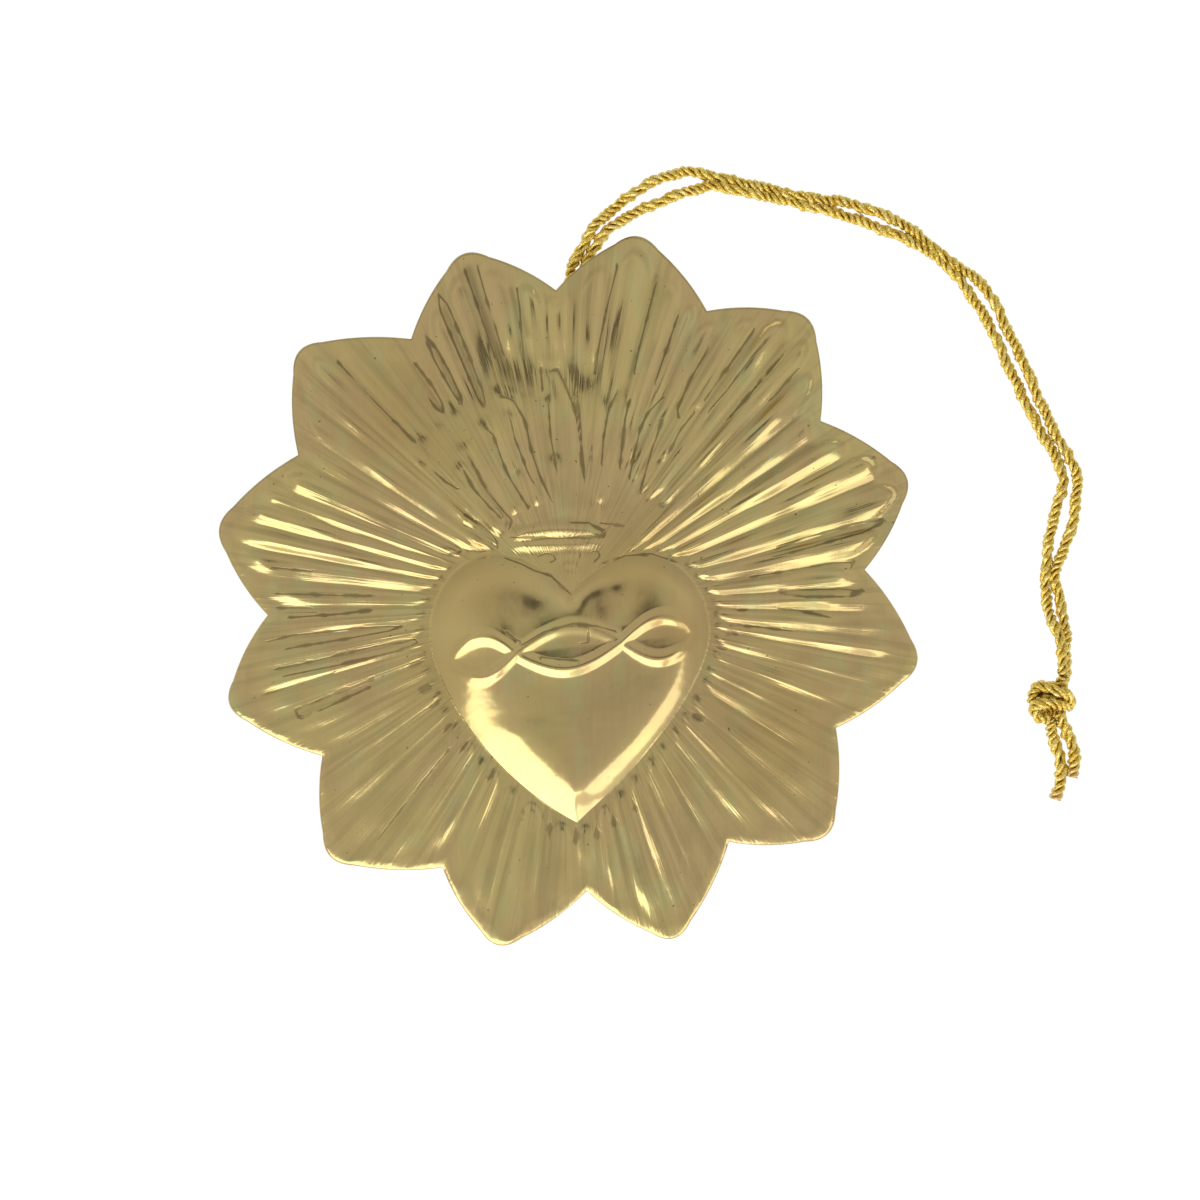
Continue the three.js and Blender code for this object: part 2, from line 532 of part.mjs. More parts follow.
function addPiece(name, geometry, material) {
  const piece = new THREE.Mesh(geometry, material);
  piece.name = name;
  ornament.add(piece);
  return piece;
}

const plate = addPiece("pressed_plate", pressedPlate(), brass);
addPiece("hanging_staple", staple(plate), brassWire);
const beads = { solder_bead_upper: upperLegY, solder_bead_lower: lowerLegY };
for (const [name, y] of Object.entries(beads)) {
  const seat = seatHeight(plate, y, bore + BEAD_WIDTH);
  addPiece(name, solderBead(), solder).position.set(STAPLE_X, y, seat);
}
const cordStretches = [
  ["cord_bight", bightRoute(), BIGHT_STEP],
  ["cord_outer_strand", OUTER_ROUTE, CORD_STEP],
  ["cord_inner_strand", INNER_ROUTE, CORD_STEP],
  ["cord_outer_tail", OUTER_TAIL, TAIL_STEP],
  ["cord_inner_tail", INNER_TAIL, TAIL_STEP],
];
for (const [name, route, step] of cordStretches) {
  addPiece(name, roundBar(cordCurve(route), CORD, step, CORD_SIDES), goldCord);
}
const knotHeight = CORD_LIE + (KNOT_THICKNESS - CORD) / 2;
addPiece("cord_knot", knot(), goldCord).position.set(...KNOT_CENTRE, knotHeight);

export default ornament;
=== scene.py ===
# Brass ex-voto heart: a pressed and hand-cut sheet, a wire staple soldered behind its top notch,
# and a doubled gold cord knotted to hang it by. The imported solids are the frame, in metres, with
# +Z out of the sheet's front and +Y towards the notch. Sizes are written in millimetres, times MM.
import math

import bpy
import numpy as np
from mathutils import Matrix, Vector


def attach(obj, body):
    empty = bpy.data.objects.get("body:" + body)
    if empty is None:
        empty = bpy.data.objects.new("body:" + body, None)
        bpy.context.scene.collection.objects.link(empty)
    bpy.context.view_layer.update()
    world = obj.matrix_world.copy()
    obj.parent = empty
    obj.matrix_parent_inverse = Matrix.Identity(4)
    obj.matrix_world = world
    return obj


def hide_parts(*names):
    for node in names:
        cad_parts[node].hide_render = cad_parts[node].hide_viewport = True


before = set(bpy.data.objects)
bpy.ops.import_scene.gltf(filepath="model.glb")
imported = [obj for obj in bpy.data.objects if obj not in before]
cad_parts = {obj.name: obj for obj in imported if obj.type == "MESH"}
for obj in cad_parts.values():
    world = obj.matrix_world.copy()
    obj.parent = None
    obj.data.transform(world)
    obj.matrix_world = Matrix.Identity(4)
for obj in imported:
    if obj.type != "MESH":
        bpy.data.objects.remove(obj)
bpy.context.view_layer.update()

# Pressed sheet
# One thin sheet of brass, cut by hand into twelve points and pressed from behind over a former, so
# that heart, braid, crown, flames and ribs all stand out of the same metal. Lines are chased in after.
MM = 0.001
DEGREE = math.tau / 360
POINT_COUNT = 12
POINT_RADIUS = 51.3
NOTCH_RADIUS = 43.1
TOP_NOTCH_ANGLE = 93.2
FLANK_BULGE = 0.5
# How far along its flanks a tip is rounded, and the share of that by which its corner is shortened
TIP_ROUND = 4.5
TIP_LOSS = 0.36
# Hand-cut wander of each notch and of the tip after it, anticlockwise from the top notch:
# notch angle (degrees), notch radius, tip angle (degrees), tip radius
HAND_CUT = [
    [-0.8, -0.2, -1.0, -0.8], [-1.2, -0.6, 0.0, 0.4], [0.1, 0.2, 1.6, -0.5],
    [1.4, 0.1, 0.3, 0.0], [0.6, -0.7, -0.1, -0.2], [2.3, 0.4, 0.6, 0.5],
    [0.3, -0.1, -1.4, 0.8], [-0.6, -0.5, -1.4, -0.4], [-0.3, -0.1, 0.2, -0.3],
    [0.9, -0.6, -0.1, -0.2], [0.8, 0.4, 0.5, 0.6], [0.5, 1.6, 0.9, 0.4],
]
SPOKES_PER_FLANK = 16
SPOKES_ROUND_TIP = 13
SPOKES = POINT_COUNT * (2 * SPOKES_PER_FLANK + SPOKES_ROUND_TIP)


def curve(handles, shares):
    """Points along a curve that is drawn by its handles, at shares from 0 to 1."""
    shares = np.asarray(shares, float)[:, None]
    line = [np.asarray(handle, float) for handle in handles]
    while len(line) > 1:
        line = [start + (end - start) * shares for start, end in zip(line, line[1:])]
    return line[0]


def cut_corner(point, is_tip):
    """Corner of the cut outline: a notch, or the sharp corner that a tip is rounded from."""
    angle_off, radius_off = HAND_CUT[point % POINT_COUNT][2 * is_tip:2 * is_tip + 2]
    angle = (TOP_NOTCH_ANGLE + 360 / POINT_COUNT * (point + 0.5 * is_tip) + angle_off) * DEGREE
    radius = (POINT_RADIUS + TIP_LOSS * TIP_ROUND if is_tip else NOTCH_RADIUS) + radius_off
    return radius * np.array([math.cos(angle), math.sin(angle)])


def flank(start, end):
    """Flank of a point, bulged a little outwards, without its last point."""
    across = end - start
    outward = 2 * FLANK_BULGE * np.array([across[1], -across[0]]) / np.linalg.norm(across)
    middle = (start + end) / 2
    outward *= math.copysign(1, outward @ middle)
    return curve([start, middle + outward, end], np.arange(SPOKES_PER_FLANK) / SPOKES_PER_FLANK)


def towards(start, end, length):
    """Place at a length from start, on the way to end."""
    return start + length * (end - start) / np.linalg.norm(end - start)


def cut_point(point):
    """Outline of one point of the sheet, from its notch to just before the next one."""
    notch, next_notch = cut_corner(point, False), cut_corner(point + 1, False)
    tip = cut_corner(point, True)
    round_start, round_end = towards(tip, notch, TIP_ROUND), towards(tip, next_notch, TIP_ROUND)
    rounded = curve([round_start, tip, round_end], np.arange(SPOKES_ROUND_TIP) / SPOKES_ROUND_TIP)
    return np.vstack([flank(notch, round_start), rounded, flank(round_end, next_notch)])


rim = np.vstack([cut_point(point) for point in range(POINT_COUNT)])

# The heart's outline, drawn by six curves from the cleft round by the left. It leans a little, as if
# drawn by hand, and its curves' handles are shares of the width and height of a lobe or of a side.
HEART_AXIS = 0.2
HEART_HALF_WIDTH = 19.9
HEART_WIDEST = -5.6
LOBE_TOP = 5.3
LOBE_OFFSET = 10.3
CLEFT = -0.6
HEART_TIP = -33.2
HEART_TIP_LEAN = 1.0
LOBE_HANDLE = 0.55
CLEFT_HANDLE = [0.2, 0.5]
LOBE_TOP_HANDLE = 0.4
SIDE_HANDLE = 0.28
LEFT_TIP_HANDLE = [0.58, 0.24]
RIGHT_TIP_HANDLE = [0.48, 0.28]
CURVE_STEPS = 60


def heart_outline():
    """Places round the heart's outline."""
    half, lobe, side = HEART_HALF_WIDTH, LOBE_OFFSET, HEART_WIDEST - HEART_TIP
    outer = [lobe + LOBE_HANDLE * (half - lobe), HEART_WIDEST + LOBE_HANDLE * (LOBE_TOP - HEART_WIDEST)]
    cleft = [CLEFT_HANDLE[0] * lobe, CLEFT + CLEFT_HANDLE[1] * (LOBE_TOP - CLEFT)]
    inner_x = (1 - LOBE_TOP_HANDLE) * lobe
    side_y = HEART_WIDEST - SIDE_HANDLE * side
    left_tip = [-LEFT_TIP_HANDLE[0] * half, HEART_TIP + LEFT_TIP_HANDLE[1] * side]
    right_tip = [RIGHT_TIP_HANDLE[0] * half, HEART_TIP + RIGHT_TIP_HANDLE[1] * side]
    tip = [HEART_TIP_LEAN, HEART_TIP]
    curves = [
        [[0, CLEFT], [-cleft[0], cleft[1]], [-inner_x, LOBE_TOP], [-lobe, LOBE_TOP]],
        [[-lobe, LOBE_TOP], [-outer[0], LOBE_TOP], [-half, outer[1]], [-half, HEART_WIDEST]],
        [[-half, HEART_WIDEST], [-half, side_y], left_tip, tip],
        [tip, right_tip, [half, side_y], [half, HEART_WIDEST]],
        [[half, HEART_WIDEST], [half, outer[1]], [outer[0], LOBE_TOP], [lobe, LOBE_TOP]],
        [[lobe, LOBE_TOP], [inner_x, LOBE_TOP], cleft, [0, CLEFT]],
    ]
    shares = np.arange(CURVE_STEPS) / CURVE_STEPS
    return np.vstack([curve(handles, shares) for handles in curves]) + [HEART_AXIS, 0]


# Spokes run from the heart's hub to its outline and on, as the ribs do, to the cut edge. Rings cross them:
# few in the hub, many in the heart and the field, where they crowd at both ends. The back has every eighth.
RAY_CENTRE = np.array([HEART_AXIS, -2.0])
HEART_HUB = np.array([HEART_AXIS, -20.0])
HUB_RINGS = 8
HEART_RINGS = 68
HUB_SHARE = 0.3
FIELD_RINGS = 84
RING_CROWDING = 0.3
BACK_RING_STEP = 8


def heart_reach(angle):
    """How far the heart's outline lies from the ray centre, at an angle (degrees)."""
    x, y = (heart_outline() - RAY_CENTRE).T
    return np.interp(angle, np.arctan2(y, x) / DEGREE, np.hypot(x, y), period=360)


rays = rim - RAY_CENTRE
spoke_angle = np.arctan2(rays[:, 1], rays[:, 0]) / DEGREE % 360
foot = RAY_CENTRE + rays * (heart_reach(spoke_angle) / np.linalg.norm(rays, axis=1))[:, None]
field_length = np.linalg.norm(rim - foot, axis=1)
field_steps = np.arange(1, FIELD_RINGS + 1) / FIELD_RINGS
field_steps -= RING_CROWDING * np.sin(math.tau * field_steps) / math.tau
hub_rings = np.linspace(0, HUB_SHARE, HUB_RINGS, endpoint=False)
front_rings = np.concatenate([hub_rings, np.linspace(HUB_SHARE, 1, HEART_RINGS + 1), 1 + field_steps])
back_rings = np.append(front_rings[:-1:BACK_RING_STEP], 2)
rings = np.concatenate([back_rings, front_rings[::-1]])


def smooth(value, low, high):
    """0 below low, 1 above high, and smooth between them."""
    share = np.clip((value - low) / (high - low), 0, 1)
    return share * share * (3 - 2 * share)


def within(value, low, high, fade):
    """1 between two ends, fading to 0 at both of them."""
    return smooth(value, low, low + fade) * (1 - smooth(value, high - fade, high))


def hump(value, width):
    """1 in the middle, and falling off smoothly on both sides over a width."""
    return np.exp(-(value / width) ** 2)


def softer(first, second, blend):
    """The smaller of two heights, rounded over where they meet."""
    share = np.clip(0.5 + 0.5 * (second - first) / blend, 0, 1)
    return second + (first - second) * share - blend * share * (1 - share)


# The dished sheet: a power of 1 would dish it like a cone, 2 like a bowl
SHEET = 0.4
DOME_RISE = 6.15
DOME_RADIUS = 51.8
DOME_POWER = 1.1
# It is bent up at the top notch for the cord: how much, over how many degrees to each side, how far inside
# the notch this starts and is full, and how softly, as a share of the lift
CORD_LIFT = 2.35
CORD_LIFT_SPREAD = 26
CORD_LIFT_START = 12.7
CORD_LIFT_FULL = 4.2
CORD_LIFT_BEND = 0.5


def dished(x, y):
    """Height of the back of the plain dished sheet."""
    reach = np.hypot(x, y)
    dome = DOME_RISE * (1 - np.minimum(reach / DOME_RADIUS, 1) ** DOME_POWER)
    turn = np.arctan2(y, x) - TOP_NOTCH_ANGLE * DEGREE
    off_notch = np.abs(np.arctan2(np.sin(turn), np.cos(turn))) / (CORD_LIFT_SPREAD * DEGREE)
    lift = np.cos(np.minimum(off_notch, 1) * math.pi / 2) ** 2
    outward = (reach - NOTCH_RADIUS + CORD_LIFT_START) / (CORD_LIFT_START - CORD_LIFT_FULL)
    outward = softer(-softer(-outward, 0, CORD_LIFT_BEND), 1, CORD_LIFT_BEND)
    return dome + CORD_LIFT * lift * outward


def nearest_line(lines, x, y):
    """Distance from the nearest of some lines, and the same with a sign that tells its two sides apart."""
    near, side = np.full(np.shape(x), np.inf), np.zeros(np.shape(x))
    for line in lines:
        for (ax, ay), (bx, by) in zip(line, line[1:]):
            along = ((x - ax) * (bx - ax) + (y - ay) * (by - ay)) / ((bx - ax) ** 2 + (by - ay) ** 2)
            along = np.clip(along, 0, 1)
            off = np.hypot(x - ax - along * (bx - ax), y - ay - along * (by - ay))
            signed = np.copysign(off, (bx - ax) * (y - ay) - (by - ay) * (x - ax))
            side = np.where(off < near, signed, side)
            near = np.minimum(near, off)
    return near, side


# The heart: rounded sides up from its outline to a low face that falls away from a summit in each lobe.
# Each summit's place and height above the table, then the face's slope, and how round the summits, the fold
# between the lobes and the shoulders are.
LOBE_SUMMITS = [(-5.2, 0.2, 7.7), (10.4, 0.6, 6.75)]
LOBE_SLOPE = 0.112
LOBE_ROUND = 2.4
LOBE_BLEND = 0.3
HEART_SHOULDER = 0.5
# The fold where the lobes' faces meet rises towards the top: its place and width across, slope, and start
FOLD_PLACE = 7.0
FOLD_WIDTH = 2.4
FOLD_SLOPE = 0.11
FOLD_START = -5.0
# The heart's sides, lower left, upper left, right, right beside the tip, and top: how steeply each one
# starts, and how far inside the outline it levels out
HEART_SIDES = [(0.42, 10), (0.42, 6), (0.75, 3), (0.3, 6), (0.9, 2.8)]
# Where one side turns into the next, from and to a height on the sheet or, for left and right, across it
LOWER_TO_UPPER_LEFT = (-21, -17.5)
TIP_TO_RIGHT = (-31.5, -28.5)
LEFT_TO_RIGHT = (-1, 3)
SIDES_TO_TOP = (-9, 0)
OUTLINE_STEP = 3


def heart_height(x, y):
    """Height of the heart's back above the table: its face, cut down by its sides."""
    outline = heart_outline()[::OUTLINE_STEP]
    inwards, _ = nearest_line([[*outline, outline[0]]], x, y)
    falls = []
    for lobe_x, lobe_y, rise in LOBE_SUMMITS:
        off_summit = np.sqrt((x - lobe_x) ** 2 + (y - lobe_y) ** 2 + LOBE_ROUND ** 2) - LOBE_ROUND
        falls.append(LOBE_SLOPE * off_summit - rise)
    rises = [slope * reach * (1 - np.exp(-inwards / reach)) for slope, reach in HEART_SIDES]
    left, upper_left, right, at_tip, top = rises
    left = left + (upper_left - left) * smooth(y, *LOWER_TO_UPPER_LEFT)
    right = at_tip + (right - at_tip) * smooth(y, *TIP_TO_RIGHT)
    lower = left + (right - left) * smooth(x, *LEFT_TO_RIGHT)
    side = lower + (top - lower) * smooth(y, *SIDES_TO_TOP)
    fold = FOLD_SLOPE * np.maximum(y - FOLD_START, 0) * hump(x - FOLD_PLACE, FOLD_WIDTH)
    return softer(dished(x, y) + side, fold - softer(*falls, LOBE_BLEND), HEART_SHOULDER)


# Shallow dents that handling has left: height, and for each wave its run along x and y and its start
DENT_HEIGHT = 0.012
DENT_WAVES = [(0.8, 0.35, 0.4), (0.5, -0.9, 1.0), (-0.35, 0.7, 2.1)]


def dents(x, y):
    """Height of the dents."""
    return DENT_HEIGHT * sum(np.sin(run_x * x + run_y * y + start) for run_x, run_y, start in DENT_WAVES)


# The braid across the heart: two thin bands that swing about a slanting line and cross
BRAID_HALF_WIDTH = 1.5
BRAID_RISE = 0.31
BRAID_SWING = 2.95
BRAID_CROSSINGS = [-17.4, -7.4, 7.6, 18.8]
BRAID_HEIGHT = -8.05
BRAID_SLOPE = 0.11
BRAID_FADE = 4
# How much higher a band is where it crosses over, and how much lower the upper one is in the middle loop
BRAID_OVER = 0.25
BRAID_QUIET = 0.45
# The low skirt of each band: its rise, and its width in half widths of the band
BRAID_SKIRT = 0.2
BRAID_SKIRT_WIDTH = 2.6


def braid_rise(x, y):
    """Height of the braid's two bands, which fade out at both ends."""
    phase = np.interp(x, BRAID_CROSSINGS, math.pi * (np.arange(len(BRAID_CROSSINGS)) - 1))
    in_middle = (phase > 0) & (phase < math.pi)
    height = np.zeros(np.shape(x))
    for side in (1, -1):
        middle = BRAID_HEIGHT + BRAID_SLOPE * x + side * BRAID_SWING * np.sin(phase)
        off = np.abs(y - middle) / BRAID_HALF_WIDTH
        over = 1 + BRAID_OVER * side * np.cos(phase)
        quiet = BRAID_QUIET * np.maximum(side * np.sin(phase), 0) * in_middle
        strand = BRAID_RISE * (over - quiet) * np.maximum(1 - off ** 2, 0) ** 2
        skirt = BRAID_SKIRT * np.maximum(1 - off / BRAID_SKIRT_WIDTH, 0) ** 2
        height = np.maximum(height, strand + skirt)
    return within(x, BRAID_CROSSINGS[0], BRAID_CROSSINGS[-1], BRAID_FADE) * height


# Crown band: a bowed bar and a straight one below it, above the cleft
CROWN_LEFT = -9.2
CROWN_RIGHT = 5.8
CROWN_FADE = 3
CROWN_SLOPE = 0.04
# Each bar's height on the sheet, bow, width and rise
CROWN_BARS = [(6.7, 0.0, 0.7, 0.5), (8.0, 0.9, 1.2, 0.95)]


def crown_rise(x, y):
    """Height of the crown band's bars, which fade out at both ends."""
    bowed = np.sin(math.pi * np.clip((x - CROWN_LEFT) / (CROWN_RIGHT - CROWN_LEFT), 0, 1))
    rises = [rise * hump(y - CROWN_SLOPE * x - height - bow * bowed, width)
             for height, bow, width, rise in CROWN_BARS]
    return within(x, CROWN_LEFT, CROWN_RIGHT, CROWN_FADE) * np.maximum(*rises)


# Ribs: long pillows with rounded ends, between grooves at these angles (degrees) round the ray centre.
# Their strength was left to the hand, so it changes round the sheet, and their crests lean upwards.
RIB_GROOVES = np.array([
    3.2, 8.5, 14.8, 22.0, 27.8, 33.6, 39.2, 45.3, 50.0, 55.5, 61.0, 66.0, 69.3, 75.0, 82.5, 89.5, 94.5, 100.2,
    106.2, 113.0, 118.0, 123.5, 129.7, 133.8, 138.5, 142.3, 147.6, 152.6, 158.4, 161.8, 165.7, 170.0, 175.5,
    181.0, 187.2, 193.2, 196.6, 202.0, 207.2, 212.0, 217.0, 223.5, 231.7, 238.2, 243.5, 249.3, 256.5, 264.7,
    271.2, 276.5, 281.6, 287.7, 293.5, 300.0, 306.5, 312.5, 319.0, 327.5, 333.0, 338.0, 344.0, 350.0, 353.2,
    358.4,
])
RIB_STRENGTHS = {
    0: 1.0, 8: 1.5, 18: 1.8, 30: 1.7, 42: 1.7, 48: 1.5, 55: 1.4, 75: 1.0, 100: 1.1, 118: 0.8, 126: 0.3,
    140: 0.8, 146: 1.1, 152: 0.8, 158: 1.0, 163: 1.3, 168: 1.4, 173: 0.9, 178: 0.7, 184: 0.6, 205: 0.45,
    214: 0.45, 235: 0.65, 255: 0.55, 310: 0.5, 345: 0.7,
}
# Rise of a rib of strength 1 at this reach from the ray centre; it grows with the reach, as the rib widens
RIB_RISE = 0.5
RIB_REACH = 36
# Shares of a rib by which its crest leans and its sides are flat channel, its gaps to the heart and to the
# edge, and the length of its rounded ends
RIB_LEAN = 0.12
RIB_CHANNEL = 0.14
RIB_START = 0.6
RIB_MARGIN = 1.2
RIB_ROUND = 2.4
# Lengths over which ribs rise from the heart and fade out at the edge, by angle
RIB_FADES_IN = {60: 1.6, 80: 6, 112: 6, 125: 1.6}
RIB_FADES = {0: 4, 20: 1.6, 160: 2.5, 185: 6, 355: 6}
# Waves in a rib's strength: how much, over what length, and their shift from rib to rib
RIB_WAVES = [(0.3, 4.1, 2.4), (0.2, 1.7, 4.1)]
# How much the crest's place wanders from rib to rib, and by what shift
RIB_CREST_WANDER = 0.1
RIB_CREST_SHIFT = 3.7
# Painted shade beside the grooves, which darkens the brass there: its width across a rib, and the least
# strength that it has
RIB_SHADE_WIDTH = 0.09
RIB_SHADE_LEAST = 0.8
# How far the flame tongues reach from the ray centre, by angle: ribs start beyond them
FLAME_TIPS = {36: 0, 47: 19, 57: 18, 66: 19, 75: 24, 84: 30, 92: 33, 106: 36, 114: 31, 132: 31, 142: 0}


def by_angle(table, angle):
    """Value at an angle round the ray centre, from a table of angles (degrees) and values."""
    return np.interp(angle, list(table), list(table.values()), period=360)


def ribs(spoke, along):
    """Height of the ribs at a place along a spoke (mm from the heart), and the painted shade in their
    grooves.
    """
    angle = spoke_angle[spoke]
    after = np.searchsorted(RIB_GROOVES, angle)
    low = np.where(after > 0, RIB_GROOVES[after - 1], RIB_GROOVES[-1] - 360)
    high = np.where(after < len(RIB_GROOVES), RIB_GROOVES[after % len(RIB_GROOVES)], RIB_GROOVES[0] + 360)
    across = (angle - low) / (high - low)
    reach = np.linalg.norm(foot[spoke] - RAY_CENTRE, axis=1) + along
    crest = 0.5 + RIB_LEAN * np.cos(angle * DEGREE) + RIB_CREST_WANDER * np.sin(RIB_CREST_SHIFT * after)
    from_groove = np.minimum(across / crest, (1 - across) / (1 - crest))
    up = np.clip((from_groove - RIB_CHANNEL) / (1 - RIB_CHANNEL), 0, 1)
    pillow = up * (2 - up)
    start = by_angle(FLAME_TIPS, angle) - reach + along
    start = np.maximum(start, RIB_START) + RIB_ROUND * (1 - pillow)
    end = field_length[spoke] - RIB_MARGIN - RIB_ROUND * (1 - pillow)
    kept = smooth(along, start, start + by_angle(RIB_FADES_IN, angle))
    kept = kept * (1 - smooth(along, end - by_angle(RIB_FADES, angle), end))
    waves = sum(size * np.sin(reach / length + shift * after) for size, length, shift in RIB_WAVES)
    strength = by_angle(RIB_STRENGTHS, angle) * (1 + waves)
    # Painted shade: the brass is darker beside each groove
    dirt = hump(from_groove - RIB_CHANNEL, RIB_SHADE_WIDTH) * kept * np.maximum(strength, RIB_SHADE_LEAST)
    return RIB_RISE * strength * reach / RIB_REACH * pillow * kept, dirt


# Lines chased with a fine tool, as angle (degrees) and reach (mm) about the ray centre: the flame
# tongues first, then the outlines of the sunken channels between some of the ribs
FLAME_LINES = [
    [(94.5, 33.5), (93, 33.7), (91.5, 31.7), (88.5, 27.9), (86.5, 23.6), (85, 20)],
    [(108.5, 31.5), (105.5, 30.3), (103.7, 27.2), (104, 22.2), (103, 18.6), (100, 15.2)],
    [(115.5, 28), (114.2, 26.6), (115, 23.2), (115.3, 20), (114, 16.4), (111.5, 13.9), (113.5, 13.2)],
    [(124, 26.6), (125, 22.9), (126, 20), (125.3, 16.4), (124.3, 14.6), (128, 13.9)],
    [(128.2, 24.6), (129.7, 21.5), (129.3, 17.9), (128.2, 16)],
    [(135.7, 28.6), (135.3, 25), (134, 23)],
    [(139.2, 19.6), (137.8, 16.9), (137.6, 15), (139, 13.7), (141, 13.3)],
    [(66, 32.3), (68, 29.5), (68.2, 27.2), (67.5, 25), (65, 20)],
    [(77.5, 31.2), (78.8, 28.3), (78.6, 24.3), (77.3, 20.7)],
    [(73.8, 30.3), (73.4, 27.5), (72, 24.3), (70, 20.7)],
    [(57, 33), (57.7, 29.3), (57, 26)],
    [(63.5, 29.3), (62.5, 26.5)],
    [(107.7, 28), (108.3, 25), (107.5, 19.5), (106.5, 18)],
    [(97, 34), (97.2, 31)],
    [(88, 30), (86.3, 25), (83.5, 18)],
    [(62.5, 26), (60.5, 22), (58, 19)],
    [(96, 29), (96.5, 24), (95.5, 19)],
    [(147.5, 14.3), (149.5, 14.9), (151, 16)],
    [(154, 17.3), (155.5, 17.6), (156.5, 18.4)],
]
CHANNEL_LINES = [
    [(113, 48.3), (112.2, 46.5), (112, 40), (112.2, 33), (112.8, 30.8), (113.6, 30.6), (114.1, 32.5),
     (113.9, 40), (113.8, 46), (113, 48.3)],
    [(118.3, 43.8), (117.5, 41.5), (117.3, 37), (117.6, 33.6), (118.2, 32.6), (118.9, 34), (119, 40),
     (118.3, 43.8)],
    [(122.7, 41), (122.1, 37), (122.3, 34), (123.3, 32.8), (124.3, 34), (124.3, 35.5)],
    [(99.5, 45.6), (99.6, 42.5), (100.2, 39), (100.4, 36)],
    [(105.3, 50), (105.2, 44), (104.8, 37)],
    [(107.4, 50), (107.2, 44), (106.8, 37)],
    [(75, 47.5), (75, 44), (74.9, 38), (74.6, 34.5)],
    [(82, 49), (82.7, 44), (83.5, 38), (84, 33)],
    [(69.5, 44), (69.3, 39), (69, 34)],
    [(61.6, 42), (61.9, 37), (61.3, 32), (60, 31)],
    [(53.3, 48), (53.7, 44), (53.8, 38), (54.4, 34)],
    [(56.2, 47.5), (56.3, 41), (56.6, 35)],
    [(49.6, 47), (49.5, 40), (49.6, 35)],
    [(46, 47), (45.6, 41)],
    [(13.3, 30), (13.5, 36), (13.9, 43), (14.8, 46.5), (15.4, 46.3), (16, 42), (15.8, 34), (15.2, 30.5)],
    [(7.6, 40.5), (8.6, 41), (9.1, 38), (9, 32), (8.8, 26)],
    [(3, 30.5), (1.9, 34), (1.7, 40), (2.6, 41.8), (3.4, 39), (3.7, 34), (4, 30)],
    [(188.8, 41), (188.6, 32), (188.2, 26), (187.4, 24.3), (186.6, 26), (186.2, 32), (186.2, 40),
     (186.9, 43.5)],
    [(192.3, 43), (192.4, 38), (192.1, 33), (191.9, 27), (192.4, 22.5), (194, 22.3), (195, 25), (194.6, 34),
     (194, 42)],
    [(196.3, 47), (196.2, 40), (196, 35)],
    [(200.5, 30), (200.6, 36), (200.9, 42), (202.8, 42), (202.9, 38), (202.3, 31)],
    [(180.5, 42), (180.6, 37)],
    [(182.6, 40), (182.2, 32), (181.6, 28.5)],
    [(230.6, 43), (230.3, 36), (230, 27)],
    [(177.8, 42), (177.6, 34), (177.4, 28)],
    [(172.8, 43), (172.5, 37)],
    [(133.7, 48), (133.8, 40), (133.5, 32)],
    [(353.3, 32), (353.4, 27), (352.6, 21)],
    [(357.3, 37), (358.6, 33), (359, 30)],
]
# Nicks at the inner ends of ribs: angle and reach. They are struck wider than a chased line by this factor.
RIB_NICKS = [
    (200.5, 23), (210, 23.2), (216.3, 23.4), (225.2, 24), (233.3, 24.5), (245.3, 26), (257.2, 30.3),
    (264.9, 31.8), (271.4, 32.4), (276.7, 32), (281.5, 31), (287.8, 29.3), (318.8, 23.8), (344, 22),
    (350.2, 23), (358.3, 24),
]
NICK_LENGTH = 1.0
NICK_WIDENING = 2
# Flat floors of channels, darkened with painted shade for the dark that they reflect: each from and to an
# angle and reach, its width and how dark it is
PAINTED_DARK_CHANNELS = [
    ((106.9, 50), (105.5, 34), 0.75, 0.6), ((113.2, 46), (113.6, 31.5), 0.45, 0.5),
    ((100.5, 45.7), (98.9, 39), 0.45, 0.45), ((117.7, 42), (118.1, 33.5), 0.4, 0.35),
    ((123, 38), (123.3, 33.5), 0.4, 0.3), ((75.2, 48.6), (74.9, 46), 0.45, 0.5),
    ((75.3, 37), (75, 34), 0.5, 0.5), ((82.5, 34.5), (84, 33), 0.4, 0.5), ((55, 46), (55.2, 38), 0.5, 0.25),
]
# Other lines on the heart, at its lobes and round the crown, by their places on the sheet
CHASED_LINES = [
    [(-8.8, 4.6), (-6.4, 3.7), (-4.8, 2.9), (-2.4, 2.1), (0.15, -0.3)],
    [(5.1, 4.0), (8.2, 5.0), (11.7, 5.3), (15.4, 4.1)],
    [(0.5, 9.7), (2.9, 9.7), (5.1, 8.4)],
    [(4.8, 9.6), (7.6, 9.3)],
    [(-4.1, 5.0), (-3.1, 5.4), (-2.1, 5.1), (-1.8, 4.4), (-2.4, 4.1)],
    [(3.4, 5.6), (4.2, 5.7), (4.5, 4.9), (3.6, 4.1)],
    [(1.8, 5.6), (1.6, 4.6)],
    [(2.9, -5.9), (2.8, -7.3), (1.8, -7.4)],
    [(-3.9, -9.4), (-1.2, -9.7), (1.2, -9.9)],
    [(-8.8, -5.8), (-6.9, -7.1)],
    [(-6.4, -7.6), (-3.5, -5.9), (0.5, -4.7), (4.0, -5.0), (6.6, -5.7)],
    [(-8.0, 7.6), (-1.0, 7.5), (5.0, 7.8)],
]
